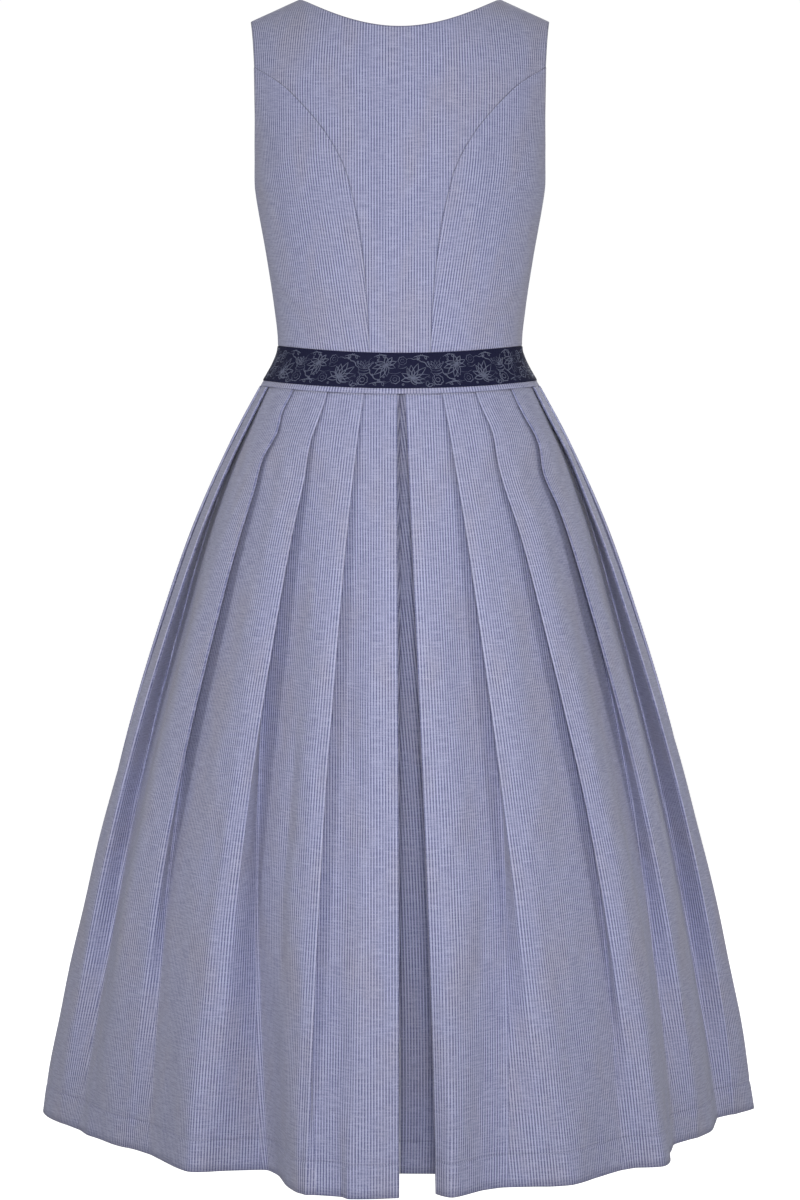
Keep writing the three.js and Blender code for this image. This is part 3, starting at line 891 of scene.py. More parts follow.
@dataclass(frozen=True)
class Crease:
    """A soft trough or ridge in a cloth, from one place to another on it.

    Places are shares across and up the cloth, and sizes are millimetres. A trough has a depth below zero.
    """

    start: Pair
    end: Pair
    depth: float
    width: float


def creases(*rows: Sequence[float]) -> tuple[Crease, ...]:
    """Creases from rows of a start, an end, a depth and a width."""
    return tuple(Crease(row[:2], row[2:4], *row[4:]) for row in rows)


def crease_relief(laid: Sequence[Crease], u: Array, v: Array, across: Array, up: Array) -> Array:
    """How far creases lift the cloth.

    Args:
        laid: The creases.
        u: Share across the cloth at each point.
        v: Share up the cloth at each point.
        across: The cloth's size across, in millimetres.
        up: The cloth's size up, in millimetres.

    Returns:
        Millimetres outwards at each point.
    """
    lifted = np.zeros(np.broadcast(u, v).shape)
    for crease in laid:
        (u0, v0), (u1, v1) = crease.start, crease.end
        run = np.array([(u1 - u0) * across, (v1 - v0) * up], dtype=object)
        long = np.sqrt(run[0] ** 2 + run[1] ** 2)
        x, y = (u - u0) * across, (v - v0) * up
        share = np.clip((x * run[0] + y * run[1]) / long**2, 0, 1)
        beside = np.sqrt((x - share * run[0]) ** 2 + (y - share * run[1]) ** 2)
        along = np.sin(np.pi * np.clip(share, 0.02, 0.98))
        lifted += crease.depth * along * np.exp(-((beside / crease.width) ** 2))
    return lifted


BACK_PRINCESS = (
    (-373.5, 32.7), (-344.5, 34.2), (-310, 36.4), (-272.5, 40.1), (-238, 45.1), (-210, 51.6),
    (-185, 58.2), (-162, 68.4), (-137, 84.3), (-112, 105.2), (-88, 129.3), (-67, 159.95),
)
FRONT_PRINCESS = (
    (-373.5, 58), (-310, 66), (-250, 77), (-200, 87), (-165, 95), (-130, 108), (-104, 126), (-84, 148.2),
)
# A stripe that each side panel's grain follows, measured across from the middle
SIDE_GRAIN = {
    Half.BACK: Column(((-40, 118), (-150, 118), (-200, 114), (-280, 102), (-375, 88))),
    Half.FRONT: Column(((-40, 118), (-150, 118), (-200, 115), (-280, 108), (-375, 100))),
}

BACK_CENTRE_CREASES = creases(
    (0.12, 0.02, 0.3, 0.2, -0.7, 7),
    (0.9, 0.03, 0.74, 0.22, -0.6, 7),
    (0.3, 0.62, 0.42, 0.8, 0.6, 12),
    (0.7, 0.6, 0.6, 0.78, 0.5, 12),
    (0.2, 0.86, 0.34, 0.72, -0.6, 9),
    (0.82, 0.85, 0.68, 0.7, -0.6, 9),
)
SIDE_BACK_CREASES = creases(
    (0.3, 0.03, 0.75, 0.16, -1.0, 6),
    (0.45, 0.12, 0.95, 0.3, 0.8, 8),
    (0.4, 0.5, 0.9, 0.42, -0.9, 9),
    (0.3, 0.72, 0.8, 0.52, 0.7, 8),
)
SIDE_FRONT_CREASES = creases(
    (0.25, 0.05, 0.8, 0.14, -0.9, 6),
    (0.5, 0.3, 0.95, 0.38, -0.8, 9),
    (0.35, 0.6, 0.85, 0.5, 0.7, 9),
)
FRONT_CREASES = creases(
    (0.5, 0.05, 0.8, 0.2, -0.8, 8),
    (0.35, 0.4, 0.7, 0.5, 0.6, 12),
    (0.55, 0.66, 0.85, 0.78, -0.5, 15),
)


Edge = Callable[[Array], Places]


@dataclass
class Bodice:
    """The bodice: a back, two side backs, two fronts that lap, and two side fronts."""

    form: WornForm
    finishes: Finishes
    sewing: Sewing
    thickness: float = 1.1
    back_neck: Pair = (-29, 1.9)
    front_neck: Pair = (-119, 2.4)
    underarm_z: float = -196
    armhole_curve_z: float = -118
    armhole_x: float = 159.5
    front_scoop: float = 12
    overlap: float = 12
    lap_holds: float = 24
    lap_fades: float = 42
    lap_lift: float = 2.4
    seam_share: float = 11 / 15
    underarm_share: float = 5 / 11
    back_neck_share: float = 0.75
    front_neck_share: float = 0.8
    seam_dip: float = 0.35
    seam_reach: float = 1.1
    # Painted shade: seam_shade and edge_shade darken the cloth along the seams and the open edges
    seam_shade: float = 0.3
    seam_width: float = 0.5
    edge_shade: float = 0.8
    edge_width: float = 1.2
    stitch: Stitch = Stitch(2.9, 2.0, 0.45)

    def __post_init__(self) -> None:
        """Makes the smooth princess seams and the table of distances round the form."""
        self.princess = {Half.BACK: Column(BACK_PRINCESS), Half.FRONT: Column(FRONT_PRINCESS)}
        self.tops = {Half.BACK: BACK_PRINCESS[-1][0], Half.FRONT: FRONT_PRINCESS[-1][0]}
        self.turns = np.linspace(0, math.pi / 2, 91)
        self.levels = np.linspace(self.form.waist_z - 12, 20, 100)
        self.girths, self.falls = {}, {}
        for half in Half:
            azimuth, z = np.meshgrid(self.turns, self.levels)
            points = self.form.torso(azimuth, z, half)
            round_steps = lengths(np.diff(points[..., :2], axis=1))
            fall_steps = lengths(np.diff(points, axis=0))
            self.girths[half] = np.pad(np.cumsum(round_steps, axis=1), ((0, 0), (1, 0)))
            self.falls[half] = -np.pad(np.cumsum(fall_steps, axis=0), ((1, 0), (0, 0)))

    def measured(self, table: Array, azimuth: Array, z: Array) -> Array:
        """A distance over the form, read from a table of them.

        Args:
            table: Distances at every level and turn.
            azimuth: Radians from the middle, on either side.
            z: Heights.

        Returns:
            Millimetres along the cloth.
        """
        column = np.clip(np.abs(azimuth) / self.turns[1], 0, len(self.turns) - 1.001)
        row = np.clip((z - self.levels[0]) / (self.levels[1] - self.levels[0]), 0, len(self.levels) - 1.001)
        c, r = column.astype(int), row.astype(int)
        low = mix(table[r, c], table[r, c + 1], column - c)
        high = mix(table[r + 1, c], table[r + 1, c + 1], column - c)
        return mix(low, high, row - r)

    def girth(self, azimuth: Array, z: Array, half: Half) -> Array:
        """The distance round the form from its middle, with the azimuth's sign."""
        return self.measured(self.girths[half], azimuth, z) * np.sign(azimuth)

    def princess_at(self, z: Array, half: Half, clearance: float) -> Array:
        """The azimuth of a princess seam, clear of it by a distance."""
        return np.arcsin((self.princess[half].at(z) + clearance) / self.form.half.at(z))

    def princess_point(self, share: Array, half: Half, clearance: float) -> Places:
        """A point of a princess seam, from the waist (0) to the armhole (1)."""
        z = mix(self.form.waist_z, self.tops[half], share)
        return self.princess_at(z, half, clearance), z

    def armhole_at(self, z: Array, half: Half) -> Array:
        """The azimuth of the armhole's edge, which curves under the arm to the side seam."""
        tip_x, tip_z = self.form.shoulder_tip
        rise = np.clip((z - self.underarm_z) / (tip_z - self.underarm_z), 0, 1)
        scoop = self.front_scoop if half is Half.FRONT else 0.0
        edge = mix(self.armhole_x, tip_x, rise**6) - scoop * np.sin(math.pi * rise)
        under = np.clip((self.armhole_curve_z - z) / (self.armhole_curve_z - self.underarm_z), 0, 1)
        across = np.sqrt(1 - np.minimum(1, edge / self.form.half.at(z)) ** 2)
        return np.arccos(across * np.sqrt(1 - under**2))

    def neckline_point(self, share: Array, half: Half) -> Places:
        """A point of the neckline, from the middle (0) to the neck point (1)."""
        low, power = self.front_neck if half is Half.FRONT else self.back_neck
        x, high = self.form.neck_point
        z = mix(low, high, share**power)
        return np.arcsin(x * share / self.form.half.at(z)), z

    def shoulder_point(self, share: Array) -> Places:
        """A point of the shoulder seam, from the neck point (0) to the tip (1)."""
        x = mix(self.form.neck_point[0], self.form.shoulder_tip[0], share)
        z = self.form.ridge(x)
        return np.arcsin(x / self.form.half.at(z)), z

    def centre_edge(self, share: Array, half: Half) -> Places:
        """The outer edge of a centre panel: the princess seam, then the armhole to the shoulder tip."""
        gap = -self.form.seam_gap / 2
        seam_azimuth, seam_z = self.princess_point(np.minimum(share / self.seam_share, 1), half, gap)
        foot_azimuth, foot_z = self.princess_point(1.0, half, gap)
        rise = np.clip((share - self.seam_share) / (1 - self.seam_share), 0, 1)
        z = mix(foot_z, self.form.shoulder_tip[1], rise)
        join = foot_azimuth - self.armhole_at(foot_z, half)
        on_seam = share <= self.seam_share
        azimuth = np.where(on_seam, seam_azimuth, self.armhole_at(z, half) + join * (1 - rise) ** 4)
        return azimuth, np.where(on_seam, seam_z, z)

    def centre_top(self, share: Array, neck_share: float, half: Half) -> Places:
        """The top edge of a centre panel from the middle outwards: the neckline, then the shoulder."""
        neck_azimuth, neck_z = self.neckline_point(np.minimum(share / neck_share, 1), half)
        tip_azimuth, tip_z = self.shoulder_point(np.clip((share - neck_share) / (1 - neck_share), 0, 1))
        on_neck = share <= neck_share
        return np.where(on_neck, neck_azimuth, tip_azimuth), np.where(on_neck, neck_z, tip_z)

    def side_edge(self, share: Array, half: Half) -> Places:
        """The edge of a side panel at the side seam and armhole, from the waist upwards."""
        _, top_z = self.princess_point(1.0, half, self.form.seam_gap / 2)
        rise = np.clip((share - self.underarm_share) / (1 - self.underarm_share), 0, 1)
        z = mix(self.underarm_z, top_z, rise**1.5)
        on_seam = share <= self.underarm_share
        seam_z = mix(self.form.waist_z, self.underarm_z, np.minimum(share / self.underarm_share, 1))
        azimuth = np.where(on_seam, math.pi / 2, self.armhole_at(z, half))
        return azimuth, np.where(on_seam, seam_z, z)

    @staticmethod
    def within(left: Edge, right: Edge, bottom: Edge, top: Edge, u: Array, v: Array) -> Places:
        """Points inside four edges.

        Args:
            left: The edge where the share across is 0.
            right: The edge where it is 1.
            bottom: The edge where the share up is 0.
            top: The edge where it is 1.
            u: Shares across.
            v: Shares up.

        Returns:
            Azimuths and heights.
        """
        ends = np.array([0.0, 1.0])
        out = []
        for i in (0, 1):
            sides = mix(left(v)[i], right(v)[i], u)
            caps = mix(bottom(u)[i], top(u)[i], v)
            low = mix(left(ends)[i][0], right(ends)[i][0], u)
            high = mix(left(ends)[i][1], right(ends)[i][1], u)
            out.append(sides + caps - mix(low, high, v))
        return out[0], out[1]

    def shares(self, count: int, size: float, corners: Sequence[float]) -> Array:
        """Shares from 0 to 1, close together at the two ends and with one at each corner."""
        close = np.array([0, 0.45, 1.1, 2.2, 4.0]) / size
        inner = np.linspace(6.0 / size, 1 - 6.0 / size, count)
        for corner in corners:
            inner[np.argmin(np.abs(inner - corner))] = corner
        return np.concatenate([close, inner, 1 - close[::-1]])

    def panel(
        self,
        edges: tuple[Edge, Edge, Edge, Edge],
        counts: tuple[int, int],
        size: Pair,
        half: Half,
        laid: Sequence[Crease],
        finished: Callable[[Array, Array, Array], Array],
        corners: tuple[Sequence[float], Sequence[float]] = ((), ()),
        grain: Column | None = None,
        lift: Callable[[Array, Array], Array] | None = None,
    ) -> Cloth:
        """A bodice panel between four edges.

        Args:
            edges: Left, right, bottom and top.
            counts: How many rows and columns.
            size: Its rough width and height.
            half: The half of the bodice.
            laid: Its creases.
            finished: Millimetres from the nearest open, turned edge, by share across, share up and the
                distances from all four edges.
            corners: The shares across and the shares up at which its edges have corners.
            grain: The stripe that its grain follows, or None for the middle of the dress.
            lift: How far it lies off the form, by azimuth and height.

        Returns:
            The panel's wall.
        """
        u, v = np.meshgrid(
            self.shares(counts[1], size[0], corners[0]), self.shares(counts[0], size[1], corners[1])
        )
        azimuth, z = self.within(*edges, u, v)
        normal = self.form.torso_normal(azimuth, z, half)
        rise = lift(azimuth, z) if lift else np.zeros_like(z)
        flat = self.form.torso(azimuth, z, half)
        borders = (flat[:, :1], flat[:, -1:], flat[:1], flat[-1:])
        away = np.stack([lengths(flat - border) for border in borders])
        beside = away.min(axis=0)
        relief = -self.seam_dip * np.exp(-((beside / self.seam_reach) ** 2))
        calm = eased(beside / 14)
        relief = relief + crease_relief(laid, u, v, size[0], size[1]) * calm
        relief = relief + 0.28 * calm * np.sin(azimuth * 9 + z * 0.021) * np.sin(z * 0.047 + azimuth * 4)
        base = flat + normal * rise[..., None]
        outer = base + normal * relief[..., None]
        inner = base - normal * self.thickness
        limit = self.form.seam_gap / 2
        if half is Half.FRONT:
            inner[..., 1] = np.maximum(inner[..., 1], limit)
        else:
            inner[..., 1] = np.minimum(inner[..., 1], -limit)
        across = self.girth(azimuth, z, half)
        if grain:
            stripe = self.girth(np.arcsin(grain.at(z) / self.form.half.at(z)), z, half)
            across = np.sign(azimuth) * (np.abs(across) - stripe)
        # Painted shade along the open edges and the seams
        edge = np.exp(-((finished(u, v, away) / self.edge_width) ** 2))
        seam = np.exp(-((beside / self.seam_width) ** 2))
        shade = np.maximum(edge * self.edge_shade, seam * self.seam_shade)
        return Cloth.between(outer, inner, across, self.measured(self.falls[half], azimuth, z), shade)

    def back_centre(self) -> Cloth:
        """The back between the princess seams, with the back shoulders."""
        size = (160, 350)

        def right(v: Array) -> Places:
            """The right edge."""
            return self.centre_edge(v, Half.BACK)

        def left(v: Array) -> Places:
            """The left edge."""
            azimuth, z = right(v)
            return -azimuth, z

        def top(u: Array) -> Places:
            """The neckline and both shoulders."""
            azimuth, z = self.centre_top(np.abs(2 * u - 1), self.back_neck_share, Half.BACK)
            return np.where(u < 0.5, -azimuth, azimuth), z

        def bottom(u: Array) -> Places:
            """The waist edge."""
            waist = right(np.array(0.0))[0]
            return mix(-waist, waist, u), np.full_like(u, self.form.waist_z)

        def finished(u: Array, v: Array, away: Array) -> Array:
            """The distance from the neckline and the armholes."""
            from_armhole = np.minimum(away[0], away[1]) + np.maximum(self.seam_share - v, 0) * size[1]
            from_neck = away[3] + np.maximum(np.abs(2 * u - 1) - self.back_neck_share, 0) * size[0]
            return np.minimum(from_armhole, from_neck)

        edges = (left, right, bottom, top)
        neck = (1 - self.back_neck_share) / 2
        corners = ((neck, 1 - neck), (self.seam_share,))
        return self.panel(edges, (84, 80), size, Half.BACK, BACK_CENTRE_CREASES, finished, corners)

    def side_panel(self, side: Side, half: Half) -> Cloth:
        """A side panel.

        Args:
            side: The side of the dress.
            half: The half of the bodice.

        Returns:
            The panel's wall.
        """
        gap, size = self.form.seam_gap / 2, (120, 250)

        def seam(v: Array) -> Places:
            """The princess seam."""
            azimuth, z = self.princess_point(v, half, gap)
            return side.value * azimuth, z

        def outside(v: Array) -> Places:
            """The side seam and armhole."""
            azimuth, z = self.side_edge(v, half)
            return side.value * azimuth, z

        def between(share: float) -> Edge:
            """The bottom or top edge."""

            def edge(u: Array) -> Places:
                """A point of the edge."""
                one, two = seam(np.array(share)), outside(np.array(share))
                return mix(one[0], two[0], u), mix(one[1], two[1], u)

            return edge

        def finished(u: Array, v: Array, away: Array) -> Array:
            """The distance from the armhole."""
            return away[1] + np.maximum(self.underarm_share - v, 0) * size[1]

        laid = SIDE_BACK_CREASES if half is Half.BACK else SIDE_FRONT_CREASES
        edges = (seam, outside, between(0.0), between(1.0))
        corners = ((), (self.underarm_share,))
        return self.panel(edges, (66, 44), size, half, laid, finished, corners, SIDE_GRAIN[half])

    def front_panel(self, side: Side) -> Cloth:
        """A centre front. The right one laps over the left past the middle.

        Args:
            side: The side of the dress.

        Returns:
            The panel's wall.
        """
        form, size = self.form, (100, 300)
        lap = self.overlap / form.half.at(form.waist_z)

        def middle(v: Array) -> Places:
            """The front edge."""
            return np.full_like(v, -lap) * side.value, mix(form.waist_z, self.front_neck[0], v)

        def outwards(v: Array) -> Places:
            """The princess seam and armhole."""
            azimuth, z = self.centre_edge(v, Half.FRONT)
            return side.value * azimuth, z

        def top(u: Array) -> Places:
            """The neckline and shoulder."""
            azimuth, z = self.centre_top(u, self.front_neck_share, Half.FRONT)
            reach = np.clip(1 - u / self.front_neck_share, 0, 1)
            return side.value * (azimuth - lap * reach), z

        def bottom(u: Array) -> Places:
            """The waist edge."""
            waist = self.centre_edge(np.array(0.0), Half.FRONT)[0]
            return side.value * mix(-lap, waist, u), np.full_like(u, form.waist_z)

        def lift(azimuth: Array, z: Array) -> Array:
            """How far the lapped front lies out over the other."""
            if side is Side.LEFT:
                return np.zeros_like(z)
            x = form.half.at(z) * np.sin(azimuth)
            return self.lap_lift * eased((self.lap_fades - x) / (self.lap_fades - self.lap_holds))

        def finished(u: Array, v: Array, away: Array) -> Array:
            """The distance from the front edge, the neckline and the armhole."""
            from_armhole = away[1] + np.maximum(self.seam_share - v, 0) * size[1]
            from_neck = away[3] + np.maximum(u - self.front_neck_share, 0) * size[0]
            return np.minimum(np.minimum(away[0], from_neck), from_armhole)

        edges = (middle, outwards, bottom, top)
        corners = ((self.front_neck_share,), (self.seam_share,))
        return self.panel(edges, (80, 52), size, Half.FRONT, FRONT_CREASES, finished, corners, lift=lift)

    def build(self) -> None:
        """Builds every panel and its seam sewing."""
        panels = {"back_centre": self.back_centre()}
        for side in Side:
            word = side.name.lower()
            panels[f"side_back_{word}"] = self.side_panel(side, Half.BACK)
            panels[f"front_{word}"] = self.front_panel(side)
            panels[f"side_front_{word}"] = self.side_panel(side, Half.FRONT)
        for name, cloth in panels.items():
            lay(cloth, name, self.finishes.bodice, Slot.BODICE)

        thread = self.finishes.cotton_thread
        seams = []
        for side in Side:
            for half in ("side_back", "side_front"):
                cloth = panels[f"{half}_{side.name.lower()}"]
                seams.append(wall_path(cloth, (slice(2, -2), 1), 0.05))
        self.sewing.sew("princess_stitches", seams, self.stitch, thread, Slot.BODICE)
        edge = wall_path(panels["front_right"], (slice(3, -3), 8), 0.05)
        self.sewing.sew("front_edge_stitches", [edge], self.stitch, thread, Slot.BODICE)


@dataclass
class Closure:
    """Seven pewter buttons on the lapped front, each over its worked buttonhole."""

    form: WornForm
    finishes: Finishes
    sewing: Sewing
    count: int = 7
    top_z: float = -134
    bottom_z: float = -352
    radius: float = 6.5
    height: float = 2.6
    dish: float = 0.8
    lap_lift: float = 2.4
    sides: int = 40
    hole_length: float = 17.0
    hole_width: float = 1.3
    bar: Stitch = Stitch(0.55, 1.5, 0.42, math.pi / 2)

    def seat(self, index: int) -> tuple[Array, Array, Array, Array]:
        """Where a button sits: its foot, and the directions across, up and out."""
        z = np.array(mix(self.top_z, self.bottom_z, index / (self.count - 1)))
        out = self.form.torso_normal(np.array(0.0), z, Half.FRONT)
        across = np.array([1.0, 0.0, 0.0])
        up = np.cross(out, across)
        foot = self.form.torso(np.array(0.0), z, Half.FRONT) + out * self.lap_lift
        return foot, across, up, out

    def profile(self) -> Array:
        """Half the button's section, as radius and height: a rolled rim round a dished face with a boss."""
        rim_radius, rim_height = 0.75, self.height - 0.75
        rim = [
            (self.radius - rim_radius + rim_radius * math.cos(a), rim_height + rim_radius * math.sin(a))
            for a in np.radians(np.linspace(-50, 160, 9))
        ]
        floor = self.height - self.dish
        boss = ((4.4, -0.05), (3.6, 0.0), (2.6, 0.0), (2.3, 0.28), (1.7, 0.42), (0.9, 0.5), (0.0, 0.52))
        face = [(radius, floor + rise) for radius, rise in boss]
        return np.array([(0.0, 0.0), (3.0, 0.0), (5.4, 0.25), *rim, *face])

    def build(self) -> None:
        """Builds the buttons and the buttonholes."""
        profile = self.profile()
        turns = np.linspace(0, 2 * math.pi, self.sides, endpoint=False)
        holes = []
        for index in range(self.count):
            foot, across, up, out = self.seat(index)
            start = foot + out * self.form.seam_gap
            points = [start]
            for radius, height in profile[1:-1]:
                ring = across * np.cos(turns)[:, None] * radius + up * np.sin(turns)[:, None] * radius
                points.extend(start + ring + out * height)
            points.append(start + out * profile[-1][1])
            rings = len(profile) - 2
            faces = []
            for side in range(self.sides):
                after = (side + 1) % self.sides
                faces.append((0, 1 + after, 1 + side))
                for ring in range(rings - 1):
                    low, high = 1 + ring * self.sides, 1 + (ring + 1) * self.sides
                    faces.append((low + side, low + after, high + after, high + side))
                last = 1 + (rings - 1) * self.sides
                faces.append((last + side, last + after, len(points) - 1))
            name = f"button_{index + 1}"
            piece = solid(f"{name}_pewter", np.array(points), faces, self.finishes.pewter)
            place(piece, Slot.BUTTONS, name)

            run = np.linspace(-self.hole_length * 0.62, self.hole_length * 0.38, 12)
            for edge in (-1, 1):
                path = foot + across * run[:, None] + up * (edge * self.hole_width / 2) + out * 0.1
                path[:, 1] -= 0.5 * run**2 / 130
                holes.append((path, np.tile(out, (len(run), 1))))
        self.sewing.sew("buttonhole_stitches", holes, self.bar, self.finishes.cotton_thread, Slot.BODICE)


def around(middle: Pair, reach: Array | float, turns: Array) -> Array:
    """Points round a middle, at a reach for each turn in radians."""
    return np.array(middle) + np.stack([reach * np.cos(turns), reach * np.sin(turns)], axis=-1)


def curve(ends: Sequence[Pair], s: Array | float) -> Array:
    """Points of a curve from its start towards its bend and on to its end, at shares of the way."""
    one, two, three = (np.array(end, float) for end in ends)
    return one * (1 - s) ** 2 + 2 * two * s * (1 - s) + three * s**2


@dataclass
class Motif:
    """One repeat of the ribbon's flowers, as strokes across and up the ribbon in millimetres."""

    strokes: list[tuple[Array, float]] = field(default_factory=list)

    def stroke(self, points: Sequence[Pair] | Array, width: float = 0.75) -> None:
        """Adds a stroke through points."""
        self.strokes.append((np.array(points, float), width))

    def arc(self, start: Pair, bend: Pair, end: Pair, width: float = 0.7) -> None:
        """Adds a curved stroke from start to end, drawn towards a bend."""
        self.stroke(curve((start, bend, end), np.linspace(0, 1, 9)[:, None]), width)

    def petal(self, foot: Pair, angle: float, length: float, width: float, line: float = 0.75) -> None:
        """Adds a pointed petal or leaf as an outline.

        Args:
            foot: Where it springs from.
            angle: Its direction, in degrees.
            length: Its length.
            width: Its width.
            line: The outline's width.
        """
        along = np.array([math.cos(math.radians(angle)), math.sin(math.radians(angle))])
        beside = np.array([-along[1], along[0]])
        for sign in (-1, 1):
            s = np.linspace(0, 1, 8)
            swell = np.sin(np.pi * s**0.8) * width / 2 * sign
            self.stroke(np.array(foot) + np.outer(s * length, along) + np.outer(swell, beside), line)

    def ring(self, middle: Pair, radius: float, line: float = 0.8, points: int = 14) -> None:
        """Adds a small circle."""
        turn = np.linspace(0, 2 * math.pi, points + 1)
        self.stroke(around(middle, radius, turn), line)

    def daisy(self, middle: Pair, radius: float, petals: int) -> None:
        """Adds an open daisy: a ring of scallops round an eye."""
        turn = np.linspace(0, 2 * math.pi, petals * 5 + 1)
        reach = radius * (0.84 + 0.16 * np.abs(np.sin(turn * petals / 2)))
        self.stroke(around(middle, reach, turn), 0.75)
        self.ring(middle, radius * 0.42, 0.7, 10)

    def fan_bloom(self, foot: Pair, angle: float, size: float) -> None:
        """Adds a wide bloom seen from the side: fanned petals in a scalloped cup."""
        for turn, reach in ((-52, 0.78), (-27, 0.95), (0, 1.0), (27, 0.95), (52, 0.78)):
            self.petal(foot, angle + turn, size * reach, size * 0.3, 0.7)
        turns = np.radians(np.linspace(angle - 66, angle + 66, 31))
        reach = size * (1.1 + 0.07 * np.abs(np.sin(np.linspace(0, 6 * math.pi, 31))))
        self.stroke(around(foot, reach, turns), 0.8)

    def sprig(self, start: Pair, bend: Pair, end: Pair, leaves: int) -> None:
        """Adds a curved stem with small leaves on both sides."""
        self.arc(start, bend, end)
        one, two, three = (np.array(p, float) for p in (start, bend, end))
        for i in range(leaves):
            s = (i + 1) / (leaves + 1)
            at = curve((start, bend, end), s)
            run = 2 * (1 - s) * (two - one) + 2 * s * (three - two)
            angle = math.degrees(math.atan2(run[1], run[0]))
            self.petal(tuple(at), angle + (55 if i % 2 else -55), 4.2, 2.0, 0.6)


